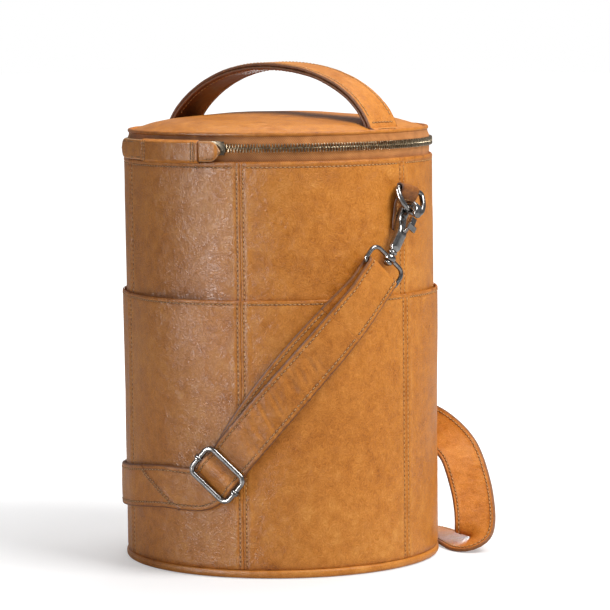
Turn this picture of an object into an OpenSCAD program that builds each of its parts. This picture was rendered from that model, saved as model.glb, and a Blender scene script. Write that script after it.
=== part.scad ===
// A cylindrical leather knitting bag with a zipped lid, six outer pockets and a clipped shoulder strap.
// Angles called azimuth are measured round +Z from the front (-Y), and grow towards +X.

/* [Bag] */
// Radius of the wall's outer face
body_r = 110; // [104:1:116]
// Height of the wall's folded top edge
wall_h = 287; // [270:1:300]
// Thickness of the wall leather
wall_t = 2; // [1.6:0.1:2.2]
// Azimuth of the first seam on each side of the front
seam_az = 28.5; // [26:0.5:32]
// Azimuth of the side seams, behind the rings
side_seam_az = 93.5; // [92:0.5:95]
// Height of the pockets' mouths
pocket_h = 192; // [170:1:200]
// How far the front and back pockets' mouths stand open at the middle
pocket_gap = 4.6; // [4.4:0.1:5]
// How far the side pockets' mouths stand open at the middle
side_gap = 1.4; // [1:0.1:3]
// Thickness of the pocket leather
pocket_t = 1.6; // [1.2:0.1:1.8]

/* [Lid] */
// Rise of the padded lid over its rolled edge
lid_rise = 9; // [6:1:12]
// Height of the handle's middle over the floor
handle_top = 352; // [340:1:360]
// Width of the handle
handle_w = 28; // [24:1:32]

/* [Zip] */
// Height of the line where the two rows of teeth meet
zip_z = 296; // [296:1:296]
// Azimuth at which the zip ends, on each side of the back
zip_end = 150; // [148:1:152]
// Half angle of the sleeve that holds the two pulls
keeper_half = 13.7; // [12:0.1:15]

/* [Strap] */
// Width of the shoulder strap
strap_w = 28; // [24:1:28]
// Thickness of the shoulder strap
strap_t = 2.4; // [2:0.1:2.4]
// Azimuth of the middle of the right ring
ring_az = 95; // [94:0.5:96]
// How far the ring stands out from the wall
ring_tilt = 23; // [22:1:26]
// Tilt of the snap hook from upright
hook_tilt = 31.5; // [30:0.1:34]
// Tilt of the clipped strap end from upright
strap_tilt = 41.3; // [38:0.1:44]

/* [Hidden] */
$fn = 64;
MAIN_STEPS = 5;
rim_h = 6.2;
board_r = body_r - 4.2;
lining_out = body_r - 4;
lining_t = 1;
tape_out = body_r - 2.2;
tape_t = 0.8;
teeth_out = body_r - 0.4;
teeth_h = 1.8;
teeth_gap = 1.2;
lid_edge_z = zip_z + 9;
lid_base_r = body_r - 2.3;
dome_z = lid_edge_z + 3;
leather_t = 2;
hinge_y = body_r + 1.8;
hinge_half = 28;
pull_in = body_r + 1.8;
pull_t = 1.8;
pull_half_h = 6.5;
pull_z = zip_z - 2;
keeper_z0 = zip_z - 10.4;
keeper_z1 = zip_z + 5.7;
wire_r = 2;
ring_half = 14.5;
ring_z = 264;
ring_r = body_r + 4;
ring_leg = 3.5;
ring_lean = 12;
hook_on_ring = 20;
hook_in = 5.2;
eye_drop = 36.4;
loop_h = 13.2;
loop_w = 32.4;
loop_wire = 1.6;
fold_len = 12;
buckle_az = 20.5;
buckle_z = 72.5;
buckle_r = 118.8;
buckle_w = 35;
buckle_h = 22.6;
buckle_wire = 1.7;
bar_drop = 3.4;
bar_r = 1.1;
tail_t = 1.8;
buckle_tilt = strap_tilt - 0.5;
SEAMS = [-seam_az, seam_az, side_seam_az, 180 - seam_az, 180 + seam_az, 360 - side_seam_az, 360 - seam_az];

// Colours
LEATHER = [0.79, 0.51, 0.28];
LEATHER_DARK = [0.68, 0.42, 0.21];
LINING = [0.55, 0.45, 0.34];
TAPE = [0.62, 0.38, 0.20];
BRASS = [0.42, 0.36, 0.25];
STEEL = [0.55, 0.54, 0.53];
BOARD = [0.70, 0.62, 0.50];

// ---------------------------------------------------------------- helpers

function polar(az, r, z) = [r * sin(az), -r * cos(az), z];
function unit(v) = v / norm(v);
function smooth(t) = let (c = min(max(t, 0), 1)) c * c * (3 - 2 * c);

// A ring sector of the profile given by its children, between two azimuths
module sector(a0, a1) {
    rotate([0, 0, a0 - 90]) rotate_extrude(angle = a1 - a0) children();
}

// A curved sheet between two azimuths, radii and heights
module sheet(a0, a1, r0, r1, z0, z1) {
    sector(a0, a1) translate([r0, z0]) square([r1 - r0, z1 - z0]);
}

module shell(r0, r1, z0, z1) {
    rotate_extrude() translate([r0, z0]) square([r1 - r0, z1 - z0]);
}

// A straight rod between two points
module rod(a, b, r) {
    d = b - a;
    translate(a) rotate([0, acos(d[2] / norm(d)), atan2(d[1], d[0])]) cylinder(r = r, h = norm(d));
}

// A bent rod in the XZ plane, centred on the origin, from one angle to another
module bend(radius, a0, a1, r) {
    rotate([90, 0, 0]) rotate([0, 0, a0])
        rotate_extrude(angle = a1 - a0) translate([radius, 0]) circle(r = r);
}

// A closed loop of round wire in the XZ plane, hanging down from z = 0
module wire_loop(w, h, top, bottom, r) {
    for (s = [0, 1]) mirror([s, 0, 0]) {
        translate([w / 2 - top, 0, -top]) bend(top, 0, 90, r);
        translate([w / 2 - bottom, 0, -h + bottom]) bend(bottom, -90, 0, r);
        rod([w / 2, 0, -h + bottom], [w / 2, 0, -top], r);
        rod([0, 0, 0], [w / 2 - top, 0, 0], r);
        if (bottom < w / 2) rod([0, 0, -h], [w / 2 - bottom, 0, -h], r);
    }
}

// ---------------------------------------------------------------- straps as swept bands

function spline(a, b, c, d, t) =
    0.5 * (2 * b + (c - a) * t + (2 * a - 5 * b + 4 * c - d) * t * t
        + (3 * b - a - 3 * c + d) * t * t * t);

// Waypoints are [azimuth, radius, height, face normal as outward, sideways and up parts]
function way_point(w) = polar(w[0], w[1], w[2]);
function way_normal(w) =
    w[3] * [sin(w[0]), -cos(w[0]), 0] + w[4] * [cos(w[0]), sin(w[0]), 0] + w[5] * [0, 0, 1];

function stations(ways, steps) =
    let (n = len(ways), p = [for (w = ways) way_point(w)], m = [for (w = ways) way_normal(w)])
    [for (i = [0 : n - 2]) for (k = [0 : steps - (i == n - 2 ? 0 : 1)])
        let (t = k / steps, a = max(i - 1, 0), d = min(i + 2, n - 1))
        [spline(p[a], p[i], p[i + 1], p[d], t), m[i] * (1 - t) + m[i + 1] * t]];

module band(st, w, t) {
    n = len(st);
    corners = [for (i = [0 : n - 1])
        let (along = unit(st[min(i + 1, n - 1)][0] - st[max(i - 1, 0)][0]),
             side = unit(cross(along, st[i][1])), up = cross(side, along))
        for (c = [[-1, -1], [1, -1], [1, 1], [-1, 1]])
            st[i][0] + side * (c[0] * w / 2) + up * (c[1] * t / 2)];
    walls = [for (i = [0 : n - 2]) for (j = [0 : 3])
        let (a = 4 * i + j, b = 4 * i + (j + 1) % 4)
        for (f = [[a, b, a + 4], [b, b + 4, a + 4]]) f];
    last = 4 * n - 4;
    ends = [[0, 2, 1], [0, 3, 2], [last, last + 1, last + 2], [last, last + 2, last + 3]];
    polyhedron(corners, concat(walls, ends));
}

// Free strap: from the right clip, through the slide buckle, round the left side and the back,
// out in a loop on the right, along the floor behind the bag and up to the left clip
MAIN_WAYS = [
    [73.8, 121.8, 199, -0.998, -0.07, 0],
    [70.5, 122.2, 191, -0.993, -0.12, 0],
    [64.2, 122, 176, -1, 0, 0],
    [56.2, 121, 157, -1, 0, 0],
    [44, 119.4, 128.5, -1, 0, 0],
    [32, 118.4, 100, -1, 0, 0],
    [27.2, 117.2, 88.6, -0.998, 0.06, 0],
    [24.1, 115.5, 81.1, -0.998, 0.063, 0],
    [20.5, 119.9, 72.5, -1, 0, 0],
    [16.9, 115.2, 64.6, -0.998, -0.063, 0],
    [12.6, 114.3, 61, -1, 0, 0],
    [6, 114, 60.4, -1, 0, 0],
    [-4, 114, 60.4, -1, 0, 0],
    [-16, 114, 58.2, -1, 0, 0],
    [-28, 114, 55.5, -1, 0, 0],
    [-50, 114, 51.5, -1, 0, 0],
    [-75, 114, 50, -1, 0, 0],
    [-100, 114, 52, -1, 0, 0],
    [-122, 114.6, 58, -1, 0, 0],
    [-142, 117.4, 68, -1, 0, 0],
    [-162, 117.8, 79, -1, 0, 0],
    [-181, 123.8, 87, -0.93, -0.36, 0],
    [-195.5, 132.1, 87, -0.79, -0.6, 0.05],
    [-209.3, 141, 70, -0.77, -0.59, 0.2],
    [-219.6, 145.4, 42, -0.82, -0.49, 0.25],
    [-226.7, 144, 19, -0.6, -0.44, 0.6],
    [-227.3, 140, 6.5, -0.25, -0.25, 0.92],
    [-222.5, 134.5, 1.9, 0, 0, 1],
    [-214, 130.5, 1.3, 0, 0, 1],
    [-199, 128, 1.5, 0, 0, 1],
    [-188, 125.2, 8, 0.35, 0, 0.94],
    [-181, 120.1, 22.5, 0.85, 0, 0.5],
    [-174, 115, 39, 1, 0, 0.08],
    [-160, 114.1, 71, 1, 0, 0],
    [-146, 114.2, 104, 1, 0, 0],
    [-134, 116.4, 132, 1, 0, 0],
    [-121, 119.2, 162.5, 1, 0, 0],
    [-109.5, 122.2, 191, 0.993, 0.12, 0],
    [-106.2, 121.8, 199, 0.998, 0.07, 0]
];

TAIL_WAYS = [
    [73.6, 116.1, 199, 0.997, 0.07, 0],
    [70.5, 117, 191.6, 0.992, 0.12, 0],
    [63, 117.6, 176, 1, 0, 0],
    [54.6, 117.2, 157, 1, 0, 0],
    [42.9, 115.8, 128.5, 1, 0, 0],
    [31.5, 114.6, 100, 1, 0, 0],
    [27.1, 113.8, 88.6, 0.998, -0.06, 0],
    [24.1, 113.1, 81.1, 0.998, -0.063, 0]
];

// ---------------------------------------------------------------- bag body

module base_panel() {
    color(LEATHER_DARK) cylinder(r = board_r, h = leather_t);
}

module base_board() {
    color(BOARD) translate([0, 0, leather_t + 0.2]) cylinder(r = board_r, h = 3);
}

module base_rim() {
    out = body_r + 1.6;
    profile = [
        [board_r + 0.2, 0], [out - 1, 0], [out, 1.2],
        [out, rim_h - 1.2], [out - 1, rim_h], [board_r + 0.2, rim_h]];
    color(LEATHER) rotate_extrude() polygon(profile);
}

module wall_panel(i) {
    color(LEATHER)
        sheet(SEAMS[i - 1] + 0.08, SEAMS[i] - 0.08, body_r - wall_t, body_r, rim_h + 0.1, wall_h);
}

// A pocket panel lies flat low down and along its seams, and stands open at the middle of its mouth
module pocket_panel(i) {
    a0 = SEAMS[i - 1] + 0.12;
    a1 = SEAMS[i] - 0.12;
    across = 18;
    up = 9;
    z0 = rim_h + 0.4;
    gap = i == 1 || i == 4 ? pocket_gap : side_gap;
    function inner(u, z) =
        body_r + 0.35 + gap * pow(cos(90 * u), 2) * smooth((z - 90) / (pocket_h - 110));
    function spot(k, j, t) =
        let (u = 2 * k / across - 1, z = z0 + (pocket_h - z0) * j / up)
        polar(a0 + (a1 - a0) * k / across, inner(u, z) + t, z);
    row = across + 1;
    back = row * (up + 1);
    pts = [for (t = [0, pocket_t]) for (j = [0 : up]) for (k = [0 : across]) spot(k, j, t)];
    faces = [for (j = [0 : up - 1]) for (k = [0 : across - 1])
        let (a = j * row + k, b = a + 1, c = a + row, d = c + 1)
        for (f = [[a, b, c], [b, d, c], [back + a, back + c, back + b], [back + b, back + c, back + d]]) f];
    rims = concat(
        [for (k = [0 : across - 1]) for (f = [[k, back + k, k + 1], [k + 1, back + k, back + k + 1]]) f],
        [for (k = [0 : across - 1]) let (a = up * row + k)
            for (f = [[a, a + 1, back + a], [a + 1, back + a + 1, back + a]]) f],
        [for (j = [0 : up - 1]) let (a = j * row)
            for (f = [[a, a + row, back + a], [a + row, back + a + row, back + a]]) f],
        [for (j = [0 : up - 1]) let (a = j * row + across)
            for (f = [[a, back + a, a + row], [a + row, back + a, back + a + row]]) f]);
    color(LEATHER) polyhedron(pts, concat(faces, rims));
}

module wall_stiffener() {
    color(BOARD) shell(lining_out + 0.2, body_r - wall_t - 0.2, rim_h + 0.1, wall_h - 10);
}

module lining_wall() {
    color(LINING) shell(lining_out - lining_t, lining_out, rim_h + 1.6, wall_h - 1);
}

module lining_base() {
    color(LINING) translate([0, 0, 5.5]) cylinder(r = board_r, h = lining_t);
}

// ---------------------------------------------------------------- zip

module zip_tape_lower() {
    color(TAPE) sheet(-zip_end, zip_end, tape_out - tape_t, tape_out, wall_h - 9, zip_z - teeth_gap / 2);
}

module zip_tape_upper() {
    color(TAPE)
        sheet(-zip_end, zip_end, tape_out - tape_t, tape_out, zip_z + teeth_gap / 2, lid_edge_z + 1);
}

module zip_teeth_lower() {
    color(BRASS) sheet(-zip_end + 1, zip_end - 1, tape_out + 0.05, teeth_out,
        zip_z - teeth_gap / 2 - teeth_h, zip_z - teeth_gap / 2);
}

module zip_teeth_upper() {
    color(BRASS) sheet(-zip_end + 1, zip_end - 1, tape_out + 0.05, teeth_out,
        zip_z + teeth_gap / 2, zip_z + teeth_gap / 2 + teeth_h);
}

// Two plates, one each side of the teeth, joined by a web between the rows, and the bail for the pull
module zip_slider(nose, tail) {
    plate = 5.2;
    color(BRASS) {
        low = min(nose, tail);
        high = max(nose, tail);
        sheet(low, high, teeth_out + 0.4, teeth_out + 1.5, zip_z - plate, zip_z + plate);
        sheet(low, high, body_r - 5, body_r - 3.8, zip_z - plate, zip_z + plate - 1);
        mid = (nose + tail) / 2;
        web = mid + (tail - nose) * 0.3;
        sheet(web - 0.8, web + 0.8, body_r - 4.2, teeth_out + 0.8, zip_z - 0.4, zip_z + 0.4);
        sheet(mid - 1, mid + 1, teeth_out + 1.3, pull_in, pull_z - 1.5, pull_z + 1.5);
    }
}

// A leather pull with one round end, its tail reaching into the sleeve
module zip_pull(tail, tip) {
    way = sign(tip - tail);
    turn = way * pull_half_h / (pull_in * PI / 180);
    round_end = [for (a = [-90 : 15 : 90]) pull_half_h * [way * cos(a), sin(a)]];
    outline = concat([[-way * body_r, -pull_half_h]], round_end, [[-way * body_r, pull_half_h]]);
    color(LEATHER) intersection() {
        sheet(min(tail, tip + turn), max(tail, tip + turn), pull_in, pull_in + pull_t,
            pull_z - pull_half_h - 1, pull_z + pull_half_h + 1);
        rotate([0, 0, tip - turn]) translate([0, -pull_in / 2, pull_z])
            rotate([90, 0, 0]) linear_extrude(pull_in) polygon(outline);
    }
}

module zip_slider_right() { zip_slider(19.5, 26.5); }
module zip_slider_left() { zip_slider(-31, -38); }
module zip_pull_right() { zip_pull(1, 21.3); }
module zip_pull_left() { zip_pull(-1, -33); }

// The sleeve sewn to the wall at the middle of the front, open at both sides
module pull_keeper() {
    ply = 1.15;
    color(LEATHER) {
        difference() {
            sheet(-keeper_half, keeper_half, body_r + 0.05, pull_in + pull_t + 2.1, keeper_z0, keeper_z1);
            sheet(-keeper_half - 1, keeper_half + 1, body_r + ply + 0.1, pull_in + pull_t + 0.5,
                keeper_z0 + 1.3, keeper_z1 - 1);
        }
        sheet(-keeper_half, keeper_half, body_r + 0.05, body_r + ply, keeper_z0 - 3.4, keeper_z0 + 0.5);
    }
}

// ---------------------------------------------------------------- lid

module back_hinge_lower() {
    color(LEATHER) sheet(180 - hinge_half, 180 + hinge_half,
        body_r + 0.1, body_r + 1.6, wall_h - 17, zip_z - 0.8);
}

module back_hinge_upper() {
    color(LEATHER) sheet(180 - hinge_half, 180 + hinge_half,
        body_r - 2, body_r + 1.6, zip_z + 0.8, lid_edge_z - 3.4);
}

// The round cap of a ball, from z = low up to the dome's surface, lowered by inset
module dome(r, low, inset) {
    ball = (lid_base_r * lid_base_r + lid_rise * lid_rise) / (2 * lid_rise);
    intersection() {
        translate([0, 0, low]) cylinder(r = r, h = 40);
        translate([0, 0, dome_z + lid_rise - ball]) sphere(r = ball - inset, $fn = 200);
    }
}

module lid_top() {
    color(LEATHER) difference() {
        dome(lid_base_r, dome_z - 2, 0);
        dome(lid_base_r + 1, dome_z - 3, leather_t);
    }
}

module lid_foam() {
    color(BOARD) dome(lid_base_r - 4, lid_edge_z - 1.8, leather_t + 0.1);
}

module lid_rim() {
    color(LEATHER) rotate_extrude() intersection() {
        translate([body_r - 2.4, lid_edge_z]) circle(r = 2.5);
        translate([tape_out + 0.1, lid_edge_z - 10]) square([10, 20]);
    }
}

module lid_board() {
    color(BOARD) translate([0, 0, lid_edge_z - 3.5]) cylinder(r = body_r - 6, h = 1.6);
}

module lid_lining() {
    color(LINING) translate([0, 0, lid_edge_z - 4.6]) cylinder(r = body_r - 5.5, h = 1);
}

// The handle's middle line is one cubic curve each side, from the lid's edge up to the top
function curve(t, a, b, c, d) =
    pow(1 - t, 3) * a + 3 * pow(1 - t, 2) * t * b + 3 * (1 - t) * t * t * c + pow(t, 3) * d;
function handle_spot(t, off) =
    let (p = curve(t, [97, 306], [86, 327], [54, handle_top - 2.3], [0, handle_top - 2.3]),
         q = curve(t + 0.001, [97, 306], [86, 327], [54, handle_top - 2.3], [0, handle_top - 2.3]),
         d = unit(q - p))
    p + off * [d[1], -d[0]];

// One layer of the handle, between two offsets from its middle line
module handle_layer(low, high, w) {
    n = 14;
    side = [for (i = [0 : n]) handle_spot(i / n, low)];
    back = [for (i = [0 : n]) handle_spot(1 - i / n, high)];
    half = concat(side, [[0, handle_top - 2.3 + low]], [[0, handle_top - 2.3 + high]], back);
    difference() {
        for (s = [0, 1]) mirror([s, 0, 0])
            rotate([90, 0, 0]) translate([0, 0, -w / 2]) linear_extrude(w) polygon(half);
        dome(lid_base_r + 2, 290, -0.05);
    }
}

module handle_outer_ply() {
    color(LEATHER) {
        handle_layer(0.8, 2.3, handle_w);
        // The sewn ends lie flat on the lid and reach its rolled edge
        intersection() {
            difference() {
                dome(lid_base_r, dome_z - 2, -1.6);
                dome(lid_base_r + 1, dome_z - 3, -0.05);
            }
            for (s = [-1, 1]) translate([s * 102.4, 0, 310]) cube([12.2, handle_w, 20], center = true);
        }
    }
}

module handle_core() {
    color(BOARD) handle_layer(-0.75, 0.75, handle_w - 6);
}

module handle_inner_ply() {
    color(LEATHER_DARK) handle_layer(-2.3, -0.8, handle_w);
}

// ---------------------------------------------------------------- strap rings and clips
// Each side's pieces are drawn for the right side; the left side is the same, turned half round.

// The ring's bar, and the point on its wire that the hook hangs from
ring_turn = [-ring_tilt, ring_lean, ring_az];
ring_top = polar(ring_az, ring_r, ring_z);
function turn_x(v, a) = [v[0], v[1] * cos(a) - v[2] * sin(a), v[1] * sin(a) + v[2] * cos(a)];
function turn_y(v, a) = [v[0] * cos(a) + v[2] * sin(a), v[1], -v[0] * sin(a) + v[2] * cos(a)];
function turn_z(v, a) = [v[0] * cos(a) - v[1] * sin(a), v[0] * sin(a) + v[1] * cos(a), v[2]];
function turned(v, a) = turn_z(turn_y(turn_x(v, a[0]), a[1]), a[2]);

hook_az = 90;
hook_turn = [hook_in, hook_tilt, hook_az];
on_wire = [-ring_half * sin(hook_on_ring), 0, -ring_leg - ring_half * cos(hook_on_ring)];
hook_pos = ring_top + turned(on_wire, ring_turn);
eye_pos = hook_pos + turned([0, 0, -eye_drop], hook_turn);
loop_az = atan2(eye_pos[0], -eye_pos[1]) - 4.2;

module at_hook() {
    translate(hook_pos) rotate(hook_turn) children();
}

module at_eye() {
    translate(eye_pos) rotate([0, 0, loop_az]) rotate([0, strap_tilt, 0]) children();
}

module side(left) {
    rotate([0, 0, left ? 180 : 0]) children();
}

// A leather loop round the ring's bar, its two ends sewn flat to the wall
module ring_tab(left) {
    x0 = -11.8;
    w = 18.5;
    sewn = 2.5;
    long = 29;
    color(LEATHER_DARK) side(left) difference() {
        union() {
            translate(ring_top) rotate([0, ring_lean, ring_az])
                translate([x0, 0, 0]) rotate([0, 90, 0]) cylinder(r = wire_r + 1.8, h = w);
            intersection() {
                shell(body_r + 0.1, body_r + 0.1 + sewn, ring_z - 40, ring_z + 10);
                translate(ring_top) rotate([0, ring_lean, ring_az])
                    translate([x0, -10, -long]) cube([w, 20, long]);
            }
        }
        translate(ring_top) rotate([0, ring_lean, ring_az])
            translate([-w, 0, 0]) rotate([0, 90, 0]) cylinder(r = wire_r + 0.3, h = 2 * w);
        cylinder(r = body_r + 0.1, h = 400);
    }
}

module d_ring(left) {
    color(STEEL) side(left) translate(ring_top) rotate(ring_turn)
        wire_loop(2 * ring_half, ring_leg + ring_half, wire_r + 0.4, ring_half, wire_r);
}

// The sizes of the cast hook: middle radius of its jaw, its width, half its thickness, and the gate's pin
jaw_r = 5.4;
hook_w = 6.2;
arm = 1.8;
jaw_z = -0.8;
pin_y = -0.6;
pin_z = -15.2;
fork_z = -13.5;
shank_end = -31;

// A flat section of the hook with its corners taken off
function bar_section(t, w, c) = [
    [-t, c - w / 2], [c - t, -w / 2], [t - c, -w / 2], [t, c - w / 2],
    [t, w / 2 - c], [t - c, w / 2], [c - t, w / 2], [-t, w / 2 - c]];

// An outline in the YZ plane, given thickness along X
module side_cut(outline, w) {
    translate([-w / 2, 0, 0]) rotate([90, 0, 90]) linear_extrude(w) polygon(outline);
}

// Cast hook: jaw, spine, forked shank with the gate's channel, collar and the swivel pin with its head
module snap_hook(left) {
    sweep = 203;
    spine = [
        [jaw_r - arm, jaw_z + 0.6], [jaw_r + arm, jaw_z + 0.6], [jaw_r + arm - 0.2, -4.5],
        [3.6, fork_z - 2], [0, fork_z - 2], [1.2, fork_z + 0.8]];
    color(STEEL) side(left) at_hook() {
        translate([0, 0, jaw_z]) rotate([90, 0, 90]) rotate_extrude(angle = sweep)
            translate([jaw_r, 0]) polygon(bar_section(arm, hook_w, 1));
        difference() {
            union() {
                side_cut(spine, hook_w - 0.4);
                translate([-hook_w / 2, -2.6, shank_end + 2]) cube([hook_w, 6, fork_z - shank_end - 2]);
            }
            translate([-1.9, -5, shank_end + 5]) cube([3.8, 6.6, fork_z - shank_end - 4.8]);
            translate([-6, pin_y, pin_z]) rotate([0, 90, 0]) cylinder(r = 0.85, h = 12);
        }
        translate([0, 0, shank_end - 0.1]) cylinder(r = 2.5, h = 3);
        translate([0, 0, shank_end - 2.2]) cylinder(r = 3.4, h = 2.2);
        translate([0, 0, shank_end - 9]) cylinder(r = 1.7, h = 8);
        translate([0, 0, -eye_drop - 5]) cylinder(r = 3, h = 2.7);
    }
}

// The gate turns on the pin and closes up against the jaw's tip; its wide plate is pushed with the thumb
module hook_gate(left) {
    web = 2.4;
    arm_side = [[-6.4, -4.1], [-4.0, -4.1], [-3.2, -12.9], [-6.2, -12.9], [-7, -9.5]];
    root = [[-5.4, -12.5], [-3.4, -12.5], [pin_y + 0.6, pin_z + 1.5], [pin_y - 1.2, pin_z - 1.4]];
    color(STEEL) side(left) at_hook() difference() {
        union() {
            translate([-web / 2, pin_y, pin_z]) rotate([0, 90, 0]) cylinder(r = 1.9, h = web);
            side_cut(root, web);
            side_cut(arm_side, 4.8);
            translate([-4.4, -7.7, -13.6]) cube([8.8, 1.8, 4.2]);
        }
        translate([-6, pin_y, pin_z]) rotate([0, 90, 0]) cylinder(r = 0.88, h = 12);
    }
}

module gate_pin(left) {
    color(STEEL) side(left) at_hook() 
        translate([-3.3, pin_y, pin_z]) rotate([0, 90, 0]) cylinder(r = 0.8, h = 6.6);
}

// The gate's return spring, a coil round the pin beside the gate
module gate_spring(left) {
    color(STEEL) side(left) at_hook() translate([1.55, pin_y, pin_z]) rotate([0, 90, 0])
        rotate_extrude() translate([1.15, 0]) circle(r = 0.22);
}

// The turning wire loop that the strap's end is folded round
module swivel_loop(left) {
    color(STEEL) side(left) difference() {
        union() {
            at_eye() wire_loop(loop_w, loop_h, 5.6, 2.4, loop_wire);
            at_hook() translate([0, 0, -eye_drop - 2.1]) cylinder(r = 4.2, h = 4.2);
        }
        at_hook() translate([0, 0, -eye_drop - 10]) cylinder(r = 1.76, h = 20);
    }
}

module strap_fold(left) {
    turn = loop_wire + 0.2;
    color(LEATHER) side(left) at_eye() translate([-strap_w / 2, 0, -loop_h]) difference() {
        union() {
            rotate([0, 90, 0]) cylinder(r = turn + strap_t, h = strap_w);
            translate([0, -turn - strap_t, -fold_len]) cube([strap_w, 2 * (turn + strap_t), fold_len]);
        }
        translate([-1, 0, 0]) rotate([0, 90, 0]) cylinder(r = turn, h = strap_w + 2);
        translate([-1, -turn, -fold_len - 1]) cube([strap_w + 2, 2 * turn, fold_len + 1]);
    }
}

// ---------------------------------------------------------------- shoulder strap

module strap_main() {
    color(LEATHER) band(stations(MAIN_WAYS, MAIN_STEPS), strap_w, strap_t);
}

module at_buckle() {
    rotate([0, 0, buckle_az]) translate([0, -buckle_r, buckle_z]) rotate([0, buckle_tilt, 0]) children();
}

// The tail's end passes under the buckle's bar and curls back over it
module strap_tail() {
    out = polar(buckle_az, 1, 0);
    down = [-sin(buckle_tilt) * cos(buckle_az), -sin(buckle_tilt) * sin(buckle_az), -cos(buckle_tilt)];
    centre = out * (buckle_r - bar_drop) + [0, 0, buckle_z];
    turn = bar_r + 0.15 + tail_t / 2;
    curl = [for (a = [-90 : 24 : 150]) let (d = cos(a) * down + sin(a) * out) [centre + turn * d, -d]];
    color(LEATHER_DARK) band(concat(stations(TAIL_WAYS, MAIN_STEPS), curl), strap_w, tail_t);
}

module slide_buckle() {
    color(STEEL) at_buckle() translate([0, 0, buckle_h / 2])
        wire_loop(buckle_w, buckle_h, 5, 5, buckle_wire);
}

// The bar's ends curl round the frame's short sides
module buckle_bar() {
    eyelet = 1.4;
    color(STEEL) at_buckle() {
        difference() {
            union() {
                rod([-buckle_w / 2, bar_drop, 0], [buckle_w / 2, bar_drop, 0], bar_r);
                for (s = [-1, 1]) translate([s * buckle_w / 2, 0, -eyelet])
                    cylinder(r = buckle_wire + 1.3, h = 2 * eyelet);
            }
            for (s = [-1, 1]) translate([s * buckle_w / 2, 0, -5]) cylinder(r = buckle_wire + 0.15, h = 10);
        }
    }
}

// ---------------------------------------------------------------- drawing

base_panel();
base_board();
base_rim();
wall_panel(1);  // wall_panel_1
wall_panel(2);  // wall_panel_2
wall_panel(3);  // wall_panel_3
wall_panel(4);  // wall_panel_4
wall_panel(5);  // wall_panel_5
wall_panel(6);  // wall_panel_6
pocket_panel(1);  // pocket_panel_1
pocket_panel(2);  // pocket_panel_2
pocket_panel(3);  // pocket_panel_3
pocket_panel(4);  // pocket_panel_4
pocket_panel(5);  // pocket_panel_5
pocket_panel(6);  // pocket_panel_6
wall_stiffener();
lining_wall();
lining_base();
zip_tape_lower();
zip_teeth_lower();
zip_tape_upper();
zip_teeth_upper();
zip_slider_right();
zip_pull_right();
zip_slider_left();
zip_pull_left();
pull_keeper();
back_hinge_lower();
back_hinge_upper();
lid_top();
lid_rim();
lid_foam();
lid_board();
lid_lining();
handle_outer_ply();
handle_core();
handle_inner_ply();
ring_tab(false);  // ring_tab_right
d_ring(false);  // d_ring_right
snap_hook(false);  // snap_hook_right
hook_gate(false);  // hook_gate_right
gate_pin(false);  // gate_pin_right
gate_spring(false);  // gate_spring_right
swivel_loop(false);  // swivel_loop_right
strap_fold(false);  // strap_fold_right
ring_tab(true);  // ring_tab_left
d_ring(true);  // d_ring_left
snap_hook(true);  // snap_hook_left
hook_gate(true);  // hook_gate_left
gate_pin(true);  // gate_pin_left
gate_spring(true);  // gate_spring_left
swivel_loop(true);  // swivel_loop_left
strap_fold(true);  // strap_fold_left
strap_main();
strap_tail();
slide_buckle();
buckle_bar();
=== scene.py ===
"""Looks of a cylindrical leather knitting bag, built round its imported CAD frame.

Lengths are millimetres until make() writes metres. Azimuth is measured in degrees round +Z
from the front (-Y), growing towards +X. Every sheet of leather or cloth is a grid of points
on its outer face, turned into a closed slab with round edges.
"""
import math

import bpy
import numpy as np
from mathutils import Matrix, Vector


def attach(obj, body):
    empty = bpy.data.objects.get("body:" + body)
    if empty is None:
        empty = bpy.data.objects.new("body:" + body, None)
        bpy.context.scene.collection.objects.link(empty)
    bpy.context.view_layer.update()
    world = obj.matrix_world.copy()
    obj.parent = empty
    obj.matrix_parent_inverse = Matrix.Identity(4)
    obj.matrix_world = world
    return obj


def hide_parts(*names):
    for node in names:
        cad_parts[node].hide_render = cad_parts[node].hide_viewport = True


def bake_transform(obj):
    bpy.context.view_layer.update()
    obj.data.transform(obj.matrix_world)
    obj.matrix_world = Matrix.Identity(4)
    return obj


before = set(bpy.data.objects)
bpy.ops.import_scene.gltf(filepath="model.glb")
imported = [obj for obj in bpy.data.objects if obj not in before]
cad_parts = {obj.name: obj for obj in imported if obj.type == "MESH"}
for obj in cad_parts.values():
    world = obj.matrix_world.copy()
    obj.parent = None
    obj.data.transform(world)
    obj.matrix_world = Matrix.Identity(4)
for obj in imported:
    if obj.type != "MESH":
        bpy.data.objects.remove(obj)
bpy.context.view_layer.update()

# ------------------------------------------------------------------ sizes shared with the CAD part
BODY_R, WALL_T, WALL_H = 110.0, 2.0, 287.0
POCKET_H, POCKET_T, FRONT_GAP, SIDE_GAP = 192.0, 1.6, 4.2, 1.2
RIM_H = 6.2
ZIP_Z, ZIP_END = 296.0, 150.0
LID_EDGE_Z, LID_BASE_R, DOME_Z, LID_RISE, LID_R = 305.0, 107.7, 308.0, 9.0, 105.8
PULL_IN, PULL_T, PULL_HALF = 111.8, 1.8, 6.5
PULL_Z = ZIP_Z - 2
KEEPER_HALF, HINGE_HALF = 13.7, 28
HANDLE_TOP, HANDLE_W = 352.0, 28.0
STRAP_W, STRAP_T, TAIL_T = 28.0, 2.4, 1.8
RING_AZ, RING_R, RING_Z, RING_HALF, RING_LEG, WIRE_R = 95.0, 114.0, 264.0, 14.5, 3.5, 2.0
RING_TILT, RING_LEAN, ON_RING = 23.0, 12.0, math.radians(20)
HOOK_TURN, STRAP_TILT, EYE_DROP = (5.2, 31.5, 90.0), 41.3, 36.4
LOOP_W, LOOP_H, LOOP_WIRE = 32.4, 13.2, 1.6
BUCKLE_AZ, BUCKLE_Z, BUCKLE_R = 20.5, 72.5, 118.8
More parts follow.
